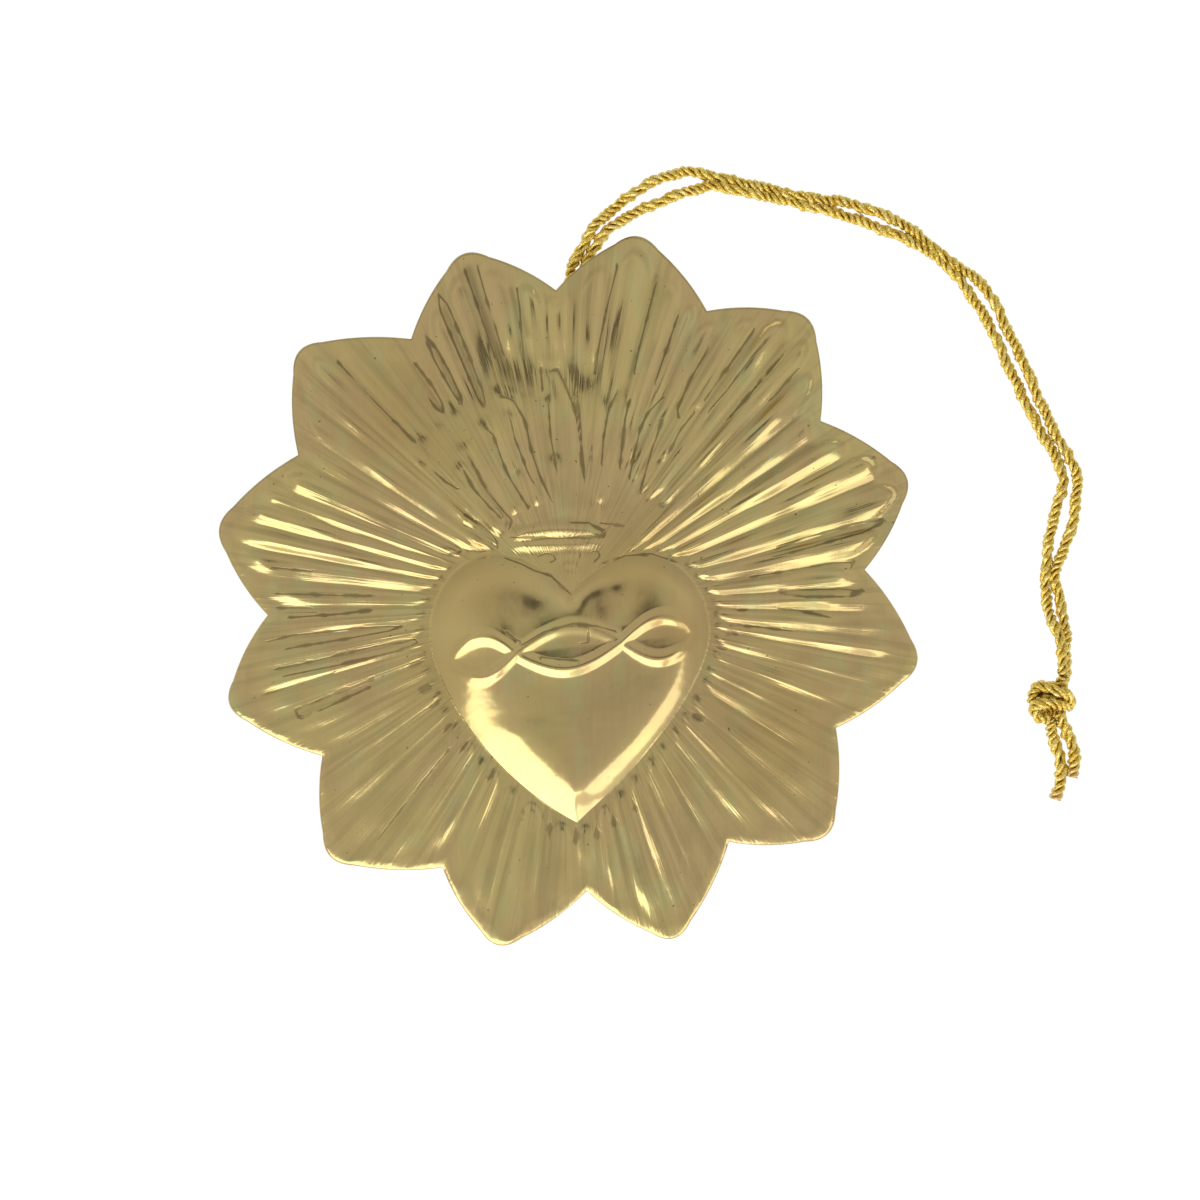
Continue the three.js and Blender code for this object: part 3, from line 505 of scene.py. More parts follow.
# Where flame tongues start, as angle and reach, and each one's strength. A tongue rises over its foot and
# tapers off outwards, and soft valleys run along the lines that part the tongues.
FLAME_BUDS = [
    (58, 24, 0.7), (69, 22, 0.7), (74.6, 14.4, 1.0), (82, 21, 0.6), (96, 20, 0.5), (107, 14.2, 0.9),
    (112, 20, 0.6), (119.5, 14.2, 0.9), (134, 13.8, 0.9), (141, 17.4, 0.9), (146, 14.6, 0.8), (95, 4.6, 0.4),
    (84, 4.6, 0.4),
]
FLAME_BUD_RISE = 0.66
FLAME_BUD_FOOT = 1.7
FLAME_BUD_LENGTH = 9
FLAME_BUD_WIDTH = 0.75
FLAME_VALLEY_DEPTH = 0.22
FLAME_VALLEY_WIDTH = 0.8


def from_rays(turn, far):
    """Place on the sheet at an angle (degrees) and a reach from the ray centre."""
    return RAY_CENTRE + far * np.array([math.cos(turn * DEGREE), math.sin(turn * DEGREE)])


flame_lines = [[from_rays(*point) for point in line] for line in FLAME_LINES]
channel_lines = [[from_rays(*point) for point in line] for line in CHANNEL_LINES]
nick_lines = [[from_rays(turn, far), from_rays(turn, far + NICK_LENGTH)] for turn, far in RIB_NICKS]
painted_dark_lines = [
    ([from_rays(*start), from_rays(*end)], width, depth) for start, end, width, depth in PAINTED_DARK_CHANNELS
]


def flames(x, y):
    """Height of the buds that the flame tongues start from, less the soft valleys along their lines."""
    height = -FLAME_VALLEY_DEPTH * hump(nearest_line(flame_lines, x, y)[0], FLAME_VALLEY_WIDTH)
    for turn, far, strength in FLAME_BUDS:
        outward = from_rays(turn, 1) - RAY_CENTRE
        start_x, start_y = from_rays(turn, far)
        along = (x - start_x) * outward[0] + (y - start_y) * outward[1]
        across = (y - start_y) * outward[0] - (x - start_x) * outward[1]
        tongue = smooth(along, 0, FLAME_BUD_FOOT) * (1 - smooth(along, FLAME_BUD_FOOT, FLAME_BUD_LENGTH))
        height = height + FLAME_BUD_RISE * strength * tongue * hump(across, FLAME_BUD_WIDTH)
    return height


# Points closer than this are merged into one
MERGE_DISTANCE = 0.0001


def formed_grid(name, columns, rows, form):
    """A flat grid whose points are moved to where form puts each column and row, with seams merged."""
    bpy.ops.object.select_all(action="DESELECT")
    bpy.ops.mesh.primitive_grid_add(x_subdivisions=columns, y_subdivisions=rows, size=1)
    piece = bpy.context.object
    piece.name = name
    piece.data.name = name
    flat = np.empty(3 * len(piece.data.vertices))
    piece.data.vertices.foreach_get("co", flat)
    column = np.rint((flat[0::3] + 0.5) * columns).astype(int)
    row = np.rint((flat[1::3] + 0.5) * rows).astype(int)
    places, marks = form(column, row)
    piece.data.vertices.foreach_set("co", (MM * places).ravel())
    for label, values in marks.items():
        attribute = piece.data.attributes.new(label, "FLOAT", "POINT")
        attribute.data.foreach_set("value", values)
    bpy.ops.object.mode_set(mode="EDIT")
    bpy.ops.mesh.select_all(action="SELECT")
    bpy.ops.mesh.remove_doubles(threshold=MERGE_DISTANCE * MM)
    bpy.ops.mesh.normals_make_consistent(inside=False)
    bpy.ops.object.mode_set(mode="OBJECT")
    bpy.ops.object.shade_smooth()
    return piece


# The bead raised just inside the cut edge: its rise and width, and the waves round the sheet in that width
LIP_RISE = 0.25
LIP_WIDTH = 1.5
LIP_WANDER = 0.7
LIP_WAVES = [(17, 0), (41, 1)]
# Painted shade in the ribs' grooves, and a painted shadow along the sheared edge of the upper half: over this
# width, from and to this height on the sheet
GROOVE_SHADE = 0.3
EDGE_SHADOW = 0.8
EDGE_SHADOW_WIDTH = (0.1, 0.3)
EDGE_SHADOW_FROM = (-5, 15)
# Brown tarnish: middle and radius of each patch
TARNISH = [(-13, 0, 7), (10, 3, 8), (16, -6, 5), (-17, -12, 6), (-24, 24, 9), (30, -20, 9)]
# How far from a chased line the brass still knows of it
LINE_SEEN = 2


def pressed(column, row):
    """Places and marks of the sheet's mesh, from its back's hub out to the edge and in again on its front."""
    spoke = column % SPOKES
    ring = rings[row]
    on_front = row >= len(back_rings)
    heart_part, field_part = np.minimum(ring, 1)[:, None], np.maximum(ring - 1, 0)[:, None]
    spot = HEART_HUB + heart_part * (foot[spoke] - HEART_HUB) + field_part * (rim[spoke] - foot[spoke])
    x, y = spot.T
    along = field_part[:, 0] * field_length[spoke]
    in_heart = ring < 1
    rib, rib_painted_shade = ribs(spoke, along)
    field = dished(x, y) + rib + flames(x, y) + crown_rise(x, y)
    z = np.where(in_heart, heart_height(x, y) + braid_rise(x, y) + dents(x, y), field) + SHEET * on_front
    to_edge = field_length[spoke] - along
    turn = spoke_angle[spoke] * DEGREE
    wander = np.prod([np.sin(waves * turn + start) for waves, start in LIP_WAVES], axis=0)
    z += LIP_RISE * np.sqrt(np.clip(to_edge / (LIP_WIDTH * (1 + LIP_WANDER * wander)), 0, 1))
    near, side = nearest_line(flame_lines + CHASED_LINES + channel_lines, x, y)
    near_nick, side_nick = [off / NICK_WIDENING for off in nearest_line(nick_lines, x, y)]
    side = np.where(near_nick < near, side_nick, side)
    near = np.minimum(near, near_nick)
    # Painted shade on the channels' flat floors
    painted_channels = [depth * hump(nearest_line([line], x, y)[0], width) for line, width, depth in painted_dark_lines]
    # Painted shadow along the sheared edge, on the upper half of the sheet only
    sheared_shadow = EDGE_SHADOW * (1 - smooth(to_edge, *EDGE_SHADOW_WIDTH)) * smooth(y, *EDGE_SHADOW_FROM)
    # All the painted shade and shadow that darkens the brass's colour
    dirt = np.max([GROOVE_SHADE * rib_painted_shade, sheared_shadow, *painted_channels], axis=0)
    patches = [hump(np.hypot(x - patch_x, y - patch_y), radius) for patch_x, patch_y, radius in TARNISH]
    return np.column_stack([x, y, z]), {
        "dirt": np.where(in_heart, 0, dirt),
        "tarnish": np.max(patches, axis=0),
        "field": np.where(in_heart, 0.0, 1.0),
        "line_near": np.minimum(near, LINE_SEEN),
        "line_side": np.clip(side, -LINE_SEEN, LINE_SEEN),
    }


sheet = formed_grid("embossed_sheet", SPOKES, len(rings) - 1, pressed)


class Shade:
    """A shader value that takes part in Python sums, and makes any other node on its tree."""

    def __init__(self, tree, socket=None):
        self.tree = tree
        self.socket = socket

    def node(self, kind, settings=None, output=0, **inputs):
        """A node of this kind, with its settings made first and then its inputs, by name or index."""
        made = self.tree.nodes.new("ShaderNode" + kind)
        for name, value in (settings or {}).items():
            if name == "stops":
                while len(made.color_ramp.elements) < len(value):
                    made.color_ramp.elements.new(1)
                for element, (position, colour) in zip(made.color_ramp.elements, value):
                    element.position = position
                    element.color = (*colour, 1)
            else:
                setattr(made, name, value)
        for name, value in inputs.items():
            key = int(name[1:]) if name[0] == "_" else name.replace("_", " ")
            self.plug(made.inputs[key], value)
        return Shade(self.tree, made.outputs[output])

    def plug(self, target, value):
        """Links a shade to a socket, or sets the socket's own value."""
        if isinstance(value, Shade):
            self.tree.links.new(value.socket, target)
        elif isinstance(value, tuple) and target.type == "RGBA":
            target.default_value = (*value, 1)
        else:
            target.default_value = value

    def maths(self, operation, first, second=0.0):
        """The result of an operation on shades or numbers."""
        return self.node("Math", {"operation": operation}, _0=first, _1=second)

    def __add__(self, other):
        return self.maths("ADD", self, other)

    def __sub__(self, other):
        return self.maths("SUBTRACT", self, other)

    def __rsub__(self, other):
        return self.maths("SUBTRACT", other, self)

    def __mul__(self, other):
        return self.maths("MULTIPLY", self, other)

    __radd__ = __add__
    __rmul__ = __mul__

    def between(self, low, high):
        """0 below low, 1 above high, and smooth between them."""
        settings = {"interpolation_type": "SMOOTHSTEP"}
        return self.node("MapRange", settings, Value=self, From_Min=low, From_Max=high)


def coated(colour, coats):
    """A colour with coats over it, each a share of the surface and its own colour."""
    for share, coat in coats:
        colour = share.node("Mix", {"data_type": "RGBA"}, output=2, _0=share, _6=colour, _7=coat)
    return colour


def new_material(name):
    """An empty material with its main shader, and a shade to make its nodes with."""
    material = bpy.data.materials.new(name)
    material.use_nodes = True
    return material, Shade(material.node_tree), material.node_tree.nodes["Principled BSDF"]


def object_place(shade, scale=(1, 1, 1)):
    """Places on the piece, in its own metres, stretched by scale."""
    coordinates = shade.node("TexCoord", output="Object")
    return shade.node("Mapping", Vector=coordinates, Scale=scale)


def noise(shade, vector, scale, detail=2.0):
    """Uneven patches, so many to each unit of the vector."""
    return shade.node("TexNoise", Vector=vector, Scale=scale, Detail=detail)


def mark(shade, name):
    """A mark that the piece's mesh carries."""
    return shade.node("Attribute", {"attribute_name": name}, output="Fac")


def set_metal(shade, surface, colour, roughness, bump, metallic=1.0):
    """Sets a metal's colour, roughness and bump, which is a height, its strength and its depth (mm)."""
    height, strength, depth = bump
    shade.plug(surface.inputs["Base Color"], colour)
    shade.plug(surface.inputs["Roughness"], roughness)
    surface.inputs["Metallic"].default_value = metallic
    bumped = shade.node("Bump", Height=height, Strength=strength, Distance=depth * MM)
    shade.plug(surface.inputs["Normal"], bumped)


OLIVE_GOLD = (0.64, 0.5, 0.2)
BROWN_GOLD = (0.6, 0.43, 0.2)
GREEN_GOLD = (0.58, 0.53, 0.23)
PALE_GRAIN = (0.7, 0.57, 0.27)
BROWN_TARNISH = (0.55, 0.37, 0.14)
DULL_STREAK = (0.4, 0.31, 0.13)
# Colour of the painted shade in grooves and channels, and of the painted shadow on the sheared edge
PAINTED_SHADE_DARK = (0.09, 0.075, 0.03)
# Colour of the painted shade in the chased lines
LINE_PAINTED_SHADE = (0.07, 0.05, 0.02)
SPECK_DARK = (0.05, 0.04, 0.02)
# Patches of each unevenness to a metre; the drawn grain's along x, y and z. Stains are stretched along y.
GRAIN_SCALE = (3200, 130, 400)
CLOUD_SCALE = 70.0
STAIN_SCALE = 240.0
STAIN_STRETCH = (1, 0.6, 1)
SPECK_SCALE = 1500.0
RIPPLE_SCALE = 330.0
TOOL_SCALE = 420.0
# Streaks along the rays: how many to a radian, and how many to a metre outwards
STREAKS_ROUND = 42.0
STREAKS_OUTWARD = 35.0
# A chased line fades out from and to these distances (mm) from it, at its sides and past its ends
LINE_SIDES = (0.06, 0.26)
LINE_ENDS = (0.3, 0.6)
BRASS_BUMP = 0.15


def pressed_brass():
    """Old pressed brass: olive gold, brown and green tarnish, drawn grain, and painted shade in the chased
    lines, the ribs' grooves and the channels, with a painted shadow on the sheared edge.
    """
    material, shade, surface = new_material("pressed_brass")
    place = object_place(shade)
    grain = noise(shade, object_place(shade, GRAIN_SCALE), 1.0, detail=3.0)
    cloud = noise(shade, place, CLOUD_SCALE, detail=3.0)
    stain = noise(shade, object_place(shade, STAIN_STRETCH), STAIN_SCALE, detail=4.0)
    speck = noise(shade, place, SPECK_SCALE, detail=1.0).between(0.77, 0.8)
    ripple = noise(shade, place, RIPPLE_SCALE)
    x, y = [shade.node("SeparateXYZ", output=axis, Vector=place) for axis in ("X", "Y")]
    turn = shade.maths("ARCTAN2", y - RAY_CENTRE[1] * MM, x)
    reach = shade.node("VectorMath", {"operation": "LENGTH"}, output="Value", _0=place)
    along_rays = shade.node("CombineXYZ", X=turn * STREAKS_ROUND, Y=reach * STREAKS_OUTWARD)
    streak = noise(shade, along_rays, 1.0, detail=3.0)
    field = mark(shade, "field")
    off_line = shade.maths("ABSOLUTE", mark(shade, "line_side"))
    tool = off_line * (0.5 + noise(shade, place, TOOL_SCALE, detail=1.0).between(0.3, 0.7) * 1.2)
    ended = mark(shade, "line_near").between(*LINE_ENDS)
    # The chased lines' mask: it darkens them with painted shade, roughens them and sinks them in the bump
    line = (1 - tool.between(*LINE_SIDES)) * (1 - ended) * stain.between(0.3, 0.45)
    # Each coat shows where its pattern passes from one level to another, by the share that follows
    colour = coated(OLIVE_GOLD, [
        (cloud.between(0.4, 0.62) * 0.8, BROWN_GOLD),
        (stain.between(0.5, 0.7) * 0.7, GREEN_GOLD),
        (grain.between(0.3, 0.8) * 0.2, PALE_GRAIN),
        (mark(shade, "tarnish") * (0.25 + cloud * 0.6), BROWN_TARNISH),
        (streak.between(0.5, 0.62) * field * 0.3, DULL_STREAK),
        # Painted shade and shadow that the mesh carries
        (mark(shade, "dirt") * 0.7, PAINTED_SHADE_DARK),
        # Painted shade in the chased lines
        (line * 0.6, LINE_PAINTED_SHADE),
        (speck * 0.7, SPECK_DARK),
    ])
    # How much each pattern roughens the brass, and how much of the bump it makes
    roughness = 0.1 + cloud * 0.06 + grain * 0.05 + line * 0.3
    height = grain * 0.03 + ripple * 0.6 + streak * field * 1.5 - line * 0.3
    set_metal(shade, surface, colour, roughness, (height, 0.5, BRASS_BUMP))
    return material


def finish_piece(piece, material, body, slot, *nodes):
    """Gives a piece its material and body, and puts it in the place of these solids. Its slot is not used."""
    piece.data.materials.clear()
    piece.data.materials.append(material)
    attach(piece, body)
    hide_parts(*nodes)


finish_piece(sheet, pressed_brass(), "plate", "pressed_brass", "pressed_plate")

# Staple and solder
# A bent brass wire stands behind the top notch, and a drop of solder holds each of its feet to the sheet.
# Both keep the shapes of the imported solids.
WIRE_BRASS = (0.62, 0.48, 0.2)
WIRE_FILM = (0.4, 0.3, 0.12)
WIRE_FILM_SCALE = 900.0
WIRE_LINES_SCALE = (6000, 300, 300)
SOLDER_GREY = (0.5, 0.5, 0.48)
SOLDER_FROST = (0.34, 0.34, 0.33)
FROST_SCALE = 2500.0
FIXING_BUMP = 0.05


def drawn_wire():
    """Drawn brass wire, with fine lines and a dull film."""
    material, shade, surface = new_material("drawn_wire")
    film = noise(shade, object_place(shade), WIRE_FILM_SCALE, detail=3.0)
    lines = noise(shade, object_place(shade, WIRE_LINES_SCALE), 1.0)
    colour = coated(WIRE_BRASS, [(film.between(0.35, 0.7), WIRE_FILM)])
    set_metal(shade, surface, colour, 0.25 + film * 0.25, (lines, 0.2, FIXING_BUMP))
    return material


def soft_solder():
    """Soft solder, grey and matt, with a frosted skin."""
    material, shade, surface = new_material("soft_solder")
    frost = noise(shade, object_place(shade), FROST_SCALE, detail=4.0)
    colour = coated(SOLDER_GREY, [(frost.between(0.35, 0.65), SOLDER_FROST)])
    set_metal(shade, surface, colour, 0.35 + frost * 0.3, (frost, 0.3, FIXING_BUMP))
    return material


solder = soft_solder()
fixings = {"hanging_staple": drawn_wire(), "solder_bead_upper": solder, "solder_bead_lower": solder}
for node, finish in fixings.items():
    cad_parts[node].data.materials.clear()
    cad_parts[node].data.materials.append(finish)

# Hanging cord
# One cord of three metallic plies, threaded through the staple, doubled, and tied in an overhand knot
# with two short tails whose cut ends are sealed by heat. Its two halves start in the turn at the staple.
# The cord's diameter, the spacing of the places along it, and its middle's height where it lies on the table
CORD_STEP = 0.28
CORD_LIE = 1.05
PLIES = 3
PLY_OFFSET = 0.42
PLY_RADIUS = 0.43
PLY_PITCH = 3.8
PLY_SIDES = 10
# Unevenness: waves in a ply's thickness, in the twist, and from side to side. A wave is given in radians to a
# millimetre, and a ply's own waves also shift from ply to ply.
PLY_LUMPS = 0.3
PLY_LUMP_WAVES = [(2.9, 2.1), (1.3, 1.7)]
TWIST_WANDER = 0.6
TWIST_WAVE = 0.55
CORD_WOBBLE = 0.15
CORD_WOBBLE_WAVES = [0.83, 0.31]
# The turn round the staple's upper leg. The cord is pinched there by a share, which fades out along it.
STAPLE_PINCH = 0.2
STAPLE_PINCH_END = (4, 8)
BIGHT_RADIUS = 2
BIGHT_HEIGHT = 2
BIGHT_CENTRE = [1.8, 39.35]
BIGHT_STEPS = 4
# Each half's way from the staple to the knot. A place without a height lies on the table.
OUTER_ROUTE = [
    [0.2, 44.6, 1.4], [0.35, 45.8, 1.2], [0.9, 47.3, 1.0], [1.8, 49.1], [2.8, 50.8], [4.3, 52.8], [7.0, 55.1],
    [9.4, 57.1], [12.3, 58.7], [16.5, 59.9], [20.0, 59.6], [25.2, 58.3], [33.0, 56.6], [40.7, 55.3],
    [47.0, 53.0], [53.1, 48.4], [59.7, 43.2], [63.9, 35.2], [68.2, 25.8], [70.2, 21.4], [72.1, 18.5],
    [72.9, 15.9], [71.9, 8.7], [69.7, 2.4], [70.3, -1.4], [71.0, -4.6, 1.1], [71.3, -7.9, 1.3],
    [71.0, -12.0, 1.7],
]
INNER_ROUTE = [
    [2.7, 44.8, 1.3], [2.4, 46.2, 1.15], [2.8, 47.6, 1.1], [3.9, 49.6], [5.4, 51.4], [7.5, 52.9],
    [10.1, 54.4], [12.9, 55.7], [15.3, 56.6], [18.0, 57.4, 1.0], [20.5, 57.9, 1.3], [23.5, 57.6, 1.3],
    [26.3, 56.9, 1.2], [29.1, 56.3, 1.1], [32.7, 55.5, 1.0], [37.5, 54.4], [43.1, 52.4],
    [49.6, 49.8], [55.6, 45.1], [60.2, 38.0], [63.8, 30.5], [65.5, 26.7], [68.9, 20.7], [70.2, 18.1],
    [70.7, 15.2], [69.0, 8.2], [68.4, 4.3], [68.4, 0.4], [68.6, -2.2, 1.3], [69.4, -5.0, 2.2],
    [70.4, -8.0, 3.0], [70.6, -12.0, 3.4],
]
OUTER_TAIL = [
    [68.9, -18.6, 2.3], [69.4, -21.0, 1.2], [70.1, -23.5], [70.6, -25.5], [70.4, -27.6], [69.7, -29.9],
]
INNER_TAIL = [
    [70.0, -17.3, 2.9], [70.6, -18.8, 2.4], [71.3, -20.6, 1.4], [72.4, -22.6], [72.5, -24.7], [72.1, -26.7],
]
# The tails are looser than the cord, and so thicker by this factor
TAIL_SWELL = 1.12
# The knot's doubled strand, from where the cord comes in to where its tails leave, about the knot's centre.
# Each of its two cords lies off its middle by the gap. They come in one above the other, and turn over to lie
# side by side within a short length.
KNOT_CENTRE = [68.9, -15.3]
KNOT_ROUTE = [
    [2.0, 3.3, 2.6], [1.3, 1.6, 1.8], [0.0, 0.2, 1.6], [-1.6, -0.6, 1.9], [-2.3, 0.5, 2.6], [-1.4, 1.7, 3.2],
    [0.3, 1.2, 3.9], [2.1, 0.5, 3.2], [2.2, -0.8, 2.2], [1.0, -0.7, 3.4], [-0.7, -0.4, 4.2],
    [-2.2, -0.8, 3.3], [-1.7, -1.9, 2.3], [-0.1, -2.3, 2.2], [0.6, -3.3, 2.4],
]
KNOT_PAIR_GAP = 0.72
KNOT_TURN_OVER = 3
SPLINE_STEPS = 24


def run_along(line):
    """Length of a line up to each of its places."""
    return np.append(0, np.cumsum(np.linalg.norm(np.diff(line, axis=0), axis=1)))


def through(points):
    """Evenly spaced places along a smooth curve through points."""
    points = np.array([[*point, CORD_LIE][:3] for point in points], float)
    ends = [2 * points[0] - points[1], *points, 2 * points[-1] - points[-2]]
    share = np.linspace(0, 1, SPLINE_STEPS, endpoint=False)[:, None]
    line = []
    for before, start, end, after in zip(ends, ends[1:], ends[2:], ends[3:]):
        line.append(start + share * (end - before) / 2
                    + share ** 2 * (2 * before - 5 * start + 4 * end - after) / 2
                    + share ** 3 * (3 * start - before - 3 * end + after) / 2)
    line = np.vstack([*line, points[-1:]])
    run = run_along(line)
    stops = np.linspace(0, run[-1], round(run[-1] / CORD_STEP) + 1)
    return np.column_stack([np.interp(stops, run, axis) for axis in line.T])


def carried(line):
    """Two axes across a line, at each of its places, that don't twist along it."""
    along = np.gradient(line, axis=0)
    along /= np.linalg.norm(along, axis=1)[:, None]
    across = [np.cross(along[0], [0, 0, 1])]
    for direction in along:
        side = across[-1] - direction * (across[-1] @ direction)
        across.append(side / np.linalg.norm(side))
    across = np.array(across[1:])
    return across, np.cross(across, along)


def plied(name, line, swell=1.0, pinch=0.0):
    """Twisted cord along a line: plies laid round it, each a closed tube, pinched at the line's start."""
    across, up = carried(line)
    run = run_along(line)
    quick, slow = CORD_WOBBLE_WAVES
    wobble = np.sin(quick * run + line[0, 1]) * np.sin(slow * run)
    line = line + CORD_WOBBLE * wobble[:, None] * across
    twist = run + TWIST_WANDER * np.sin(TWIST_WAVE * run + line[0, 0])
    size = swell * (1 - pinch * (1 - smooth(run, *STAPLE_PINCH_END)))
    last = len(line) - 1
    strands = []
    for ply in range(PLIES):
        def laid(column, row, ply=ply):
            spot = np.clip(row - 1, 0, last)
            turn = math.tau * (ply / PLIES - twist[spot] / PLY_PITCH)
            around = math.tau * column / PLY_SIDES
            waves = [np.sin(wave * run[spot] + shift * ply) for wave, shift in PLY_LUMP_WAVES]
            not_end = (row > 0) & (row < last + 2)
            radius = size[spot] * PLY_RADIUS * (1 + PLY_LUMPS * np.prod(waves, axis=0)) * not_end
            side = size[spot] * PLY_OFFSET * np.cos(turn) + radius * np.cos(around + turn)
            rise = size[spot] * PLY_OFFSET * np.sin(turn) + radius * np.sin(around + turn)
            place = line[spot] + side[:, None] * across[spot] + rise[:, None] * up[spot]
            # The mark for painted shade runs from 0 on a ply's outside to 1 on its inside, where the plies
            # meet
            return place, {"crevice": (1 - np.cos(around)) / 2, "left": run[-1] - run[spot]}
        strands.append(formed_grid(name, PLY_SIDES, last + 2, laid))
    return joined(strands)


def joined(pieces):
    """Pieces joined into the first of them."""
    bpy.ops.object.select_all(action="DESELECT")
    for piece in pieces:
        piece.select_set(True)
    bpy.context.view_layer.objects.active = pieces[0]
    bpy.ops.object.join()
    return pieces[0]


FOIL_DARK = (0.6, 0.38, 0.04)
FOIL_GOLD = (1.0, 0.8, 0.2)
FOIL_PALE = (1.0, 0.88, 0.4)
# Colour of the painted shade between the plies
PAINTED_PLY_SHADE = (0.45, 0.25, 0.02)
SEALED_END = (0.78, 0.56, 0.22)
# From and to how far from its end (mm) a tail is sealed
SEALED_LENGTH = (0.9, 1.6)
FILAMENT_SCALE = 3600.0
FOIL_PATCH_SCALE = 900.0
FILAMENT_BUMP = 0.2


def metallic_yarn(name, sealed):
    """Gold foil filaments that glint, with painted shade between the plies; a sealed end is pale and dull."""
    material, shade, surface = new_material(name)
    filament = noise(shade, object_place(shade), FILAMENT_SCALE)
    patch = noise(shade, object_place(shade), FOIL_PATCH_SCALE)
    coats = [
        (filament.between(0.35, 0.65), FOIL_GOLD),
        (patch.between(0.45, 0.7) * 0.5, FOIL_PALE),
        # Painted shade where the plies meet
        (mark(shade, "crevice").between(0.3, 0.8) * 0.7, PAINTED_PLY_SHADE),
    ]
    if sealed:
        coats.append((1 - mark(shade, "left").between(*SEALED_LENGTH), SEALED_END))
    colour = coated(FOIL_DARK, coats)
    set_metal(shade, surface, colour, 0.15 + filament * 0.2, (filament, 0.8, FILAMENT_BUMP), metallic=0.85)
    return material


def bight_half(side):
    """Half of the turn round the staple's upper leg, from its bottom to its left (-1) or right (1) side."""
    angles = np.linspace(-90, 90 * (side - 1), BIGHT_STEPS) * DEGREE
    x = BIGHT_CENTRE[0] + BIGHT_RADIUS * np.cos(angles)
    y = BIGHT_CENTRE[1] + BIGHT_RADIUS * np.sin(angles)
    return np.column_stack([x, y, np.full(BIGHT_STEPS, BIGHT_HEIGHT)]).tolist()


outer_line = through(bight_half(-1) + OUTER_ROUTE)
inner_line = through(bight_half(1) + INNER_ROUTE)
yarn = metallic_yarn("metallic_yarn", False)
sealed_yarn = metallic_yarn("sealed_yarn", True)

knot_line = through([[x + KNOT_CENTRE[0], y + KNOT_CENTRE[1], z] for x, y, z in KNOT_ROUTE])
knot_across, knot_up = carried(knot_line)
lying = smooth(np.arange(len(knot_line)) * CORD_STEP, 0, KNOT_TURN_OVER)[:, None]
knot_pair = KNOT_PAIR_GAP * (lying * knot_across + (1 - lying) * knot_up)
knot = joined([plied("tied_knot", knot_line + side * knot_pair) for side in (-1, 1)])
knot.name = "tied_knot"
finish_piece(knot, yarn, "cord", "gold_cord", "cord_knot")
outer_tail = plied("outer_tail", through(OUTER_TAIL), TAIL_SWELL)
finish_piece(outer_tail, sealed_yarn, "cord", "gold_cord", "cord_outer_tail")
inner_tail = plied("inner_tail", through(INNER_TAIL), TAIL_SWELL)
finish_piece(inner_tail, sealed_yarn, "cord", "gold_cord", "cord_inner_tail")
outer_cord = plied("outer_cord", outer_line, pinch=STAPLE_PINCH)
finish_piece(outer_cord, yarn, "cord", "gold_cord", "cord_outer_strand", "cord_bight")
inner_cord = plied("inner_cord", inner_line, pinch=STAPLE_PINCH)
finish_piece(inner_cord, yarn, "cord", "gold_cord", "cord_inner_strand")
halves = [(outer_cord, outer_line, [knot, outer_tail]), (inner_cord, inner_line, [inner_tail])]
for cord, line, ends in halves:
    MM * line[0]
    MM * line

# Table and light
# The ornament lies on a white table under soft light, with the brightest window low behind the viewer's
# side of the table, and is seen from straight above through a long lens.
TABLE_SIZE = 3000
TABLE_GAP = 0.05
TABLE_WHITE = (0.9, 0.9, 0.9, 1)
TABLE_ROUGHNESS = 0.9
# The table's own glow where it is seen, and the share that it has there; the rest keeps the shadow
TABLE_GLOW = 1.05
TABLE_GLOW_SHARE = 0.93
bpy.ops.object.select_all(action="DESELECT")
bpy.ops.mesh.primitive_plane_add(size=TABLE_SIZE * MM, location=(0, 0, -TABLE_GAP * MM))
table = bpy.context.object
table.name = "table"
bpy.ops.object.transform_apply(location=True)


def white_table():
    """White paper that stays white to the eye and in reflections, and keeps a trace of shadow."""
    material, shade, surface = new_material("white_table")
    surface.inputs["Base Color"].default_value = TABLE_WHITE
    surface.inputs["Roughness"].default_value = TABLE_ROUGHNESS
    kinds = ("Is Camera Ray", "Is Glossy Ray", "Is Transmission Ray")
    camera_ray, glossy_ray, through_ray = [shade.node("LightPath", output=kind) for kind in kinds]
    seen = shade.maths("MINIMUM", camera_ray + glossy_ray + through_ray, 1.0)
    glow = shade.node("Emission", Color=(1.0, 1.0, 1.0), Strength=TABLE_GLOW)
    lit = Shade(shade.tree, surface.outputs[0])
    both = shade.node("MixShader", _0=seen * TABLE_GLOW_SHARE, _1=lit, _2=glow)
    shade.plug(shade.tree.nodes["Material Output"].inputs["Surface"], both)
    return material


table.data.materials.append(white_table())


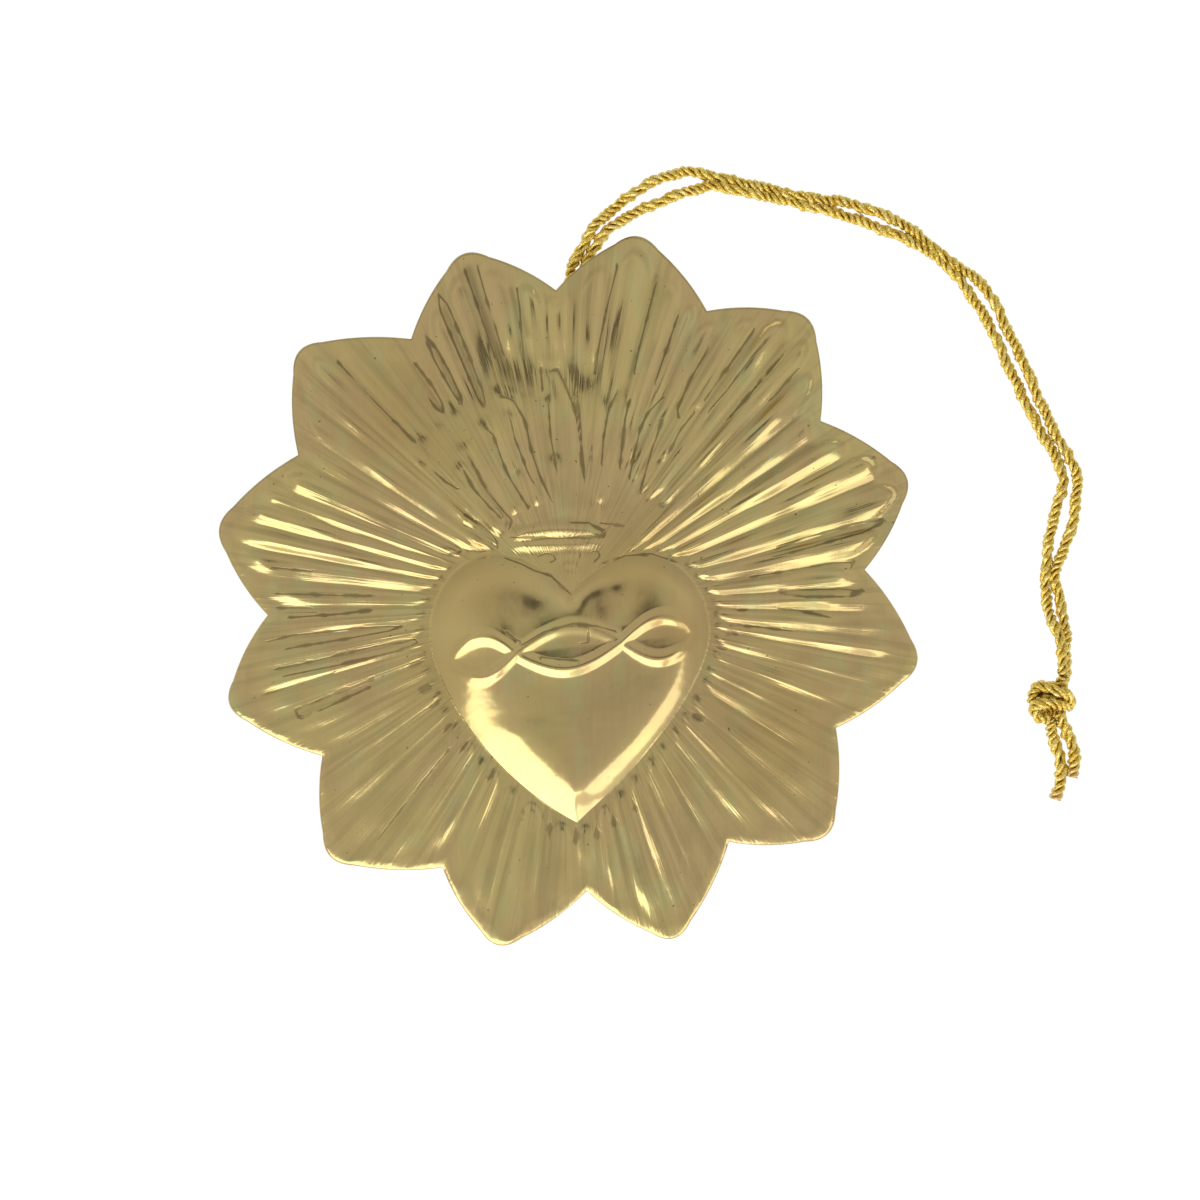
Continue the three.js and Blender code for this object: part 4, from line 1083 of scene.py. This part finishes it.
def soft_lamp(name, place, width, depth, power):
    """A soft rectangular lamp that faces the ornament: place and size in metres, power in watts."""
    lamp = bpy.data.lights.new(name, "AREA")
    lamp.shape = "RECTANGLE"
    lamp.size = width
    lamp.size_y = depth
    lamp.energy = power
    stand = bpy.data.objects.new(name, lamp)
    bpy.context.scene.collection.objects.link(stand)
    stand.location = place
    stand.rotation_euler = (-Vector(place)).to_track_quat("-Z", "Y").to_euler()


soft_lamp("window", (-0.36, -0.98, 0.8), width=1.2, depth=0.8, power=4.8)
soft_lamp("side_window", (0.75, -0.85, 0.8), width=0.7, depth=0.8, power=1.9)

# The room's light by the angle (degrees) from straight above: the dark of the ceiling behind the camera, then
# grey walls. They are brighter by a share towards the window, over this range of the way there, and darker
# across from it.
ROOM_STOPS = [(0, 0.1), (5, 0.13), (9, 0.44), (14, 0.55), (24, 0.62), (45, 0.68), (90, 0.55)]
WINDOW_GLOW = 0.8
WINDOW_GLOW_RANGE = (0.4, 0.85)
FAR_SHADE = 0.1
FAR_SHADE_RANGE = (0.3, 0.75)
world = bpy.data.worlds.new("studio")
world.use_nodes = True
bpy.context.scene.world = world
air = Shade(world.node_tree)
direction = air.node("TexCoord", output="Generated")
upward = air.node("SeparateXYZ", output="Z", Vector=direction)
away = air.node("SeparateXYZ", output="Y", Vector=direction)
fall = air.maths("ARCCOSINE", upward) * (2 / math.pi)
stops = [(angle / 90, (level, level, level)) for angle, level in ROOM_STOPS]
walls = air.node("ValToRGB", {"stops": stops}, Fac=fall)
glow = (0 - away).between(*WINDOW_GLOW_RANGE) * WINDOW_GLOW
strength = 1 + glow - away.between(*FAR_SHADE_RANGE) * FAR_SHADE
background = world.node_tree.nodes["Background"]
air.plug(background.inputs["Color"], walls)
air.plug(background.inputs["Strength"], strength)

# The photograph's frame: its width and centre at a level within the sheet's relief
FRAME_WIDTH = 171.6
FRAME_CENTRE = [4.5, -1.3]
FRAME_LEVEL = 2
LENS = 135
SENSOR = 36
camera = bpy.data.objects.new("camera", bpy.data.cameras.new("camera"))
bpy.context.scene.collection.objects.link(camera)
camera.data.lens = LENS
camera.data.sensor_width = SENSOR
camera_height = FRAME_WIDTH * LENS / SENSOR + FRAME_LEVEL
camera.location = (FRAME_CENTRE[0] * MM, FRAME_CENTRE[1] * MM, camera_height * MM)
bpy.context.scene.camera = camera
bpy.context.scene.view_settings.view_transform = "Standard"
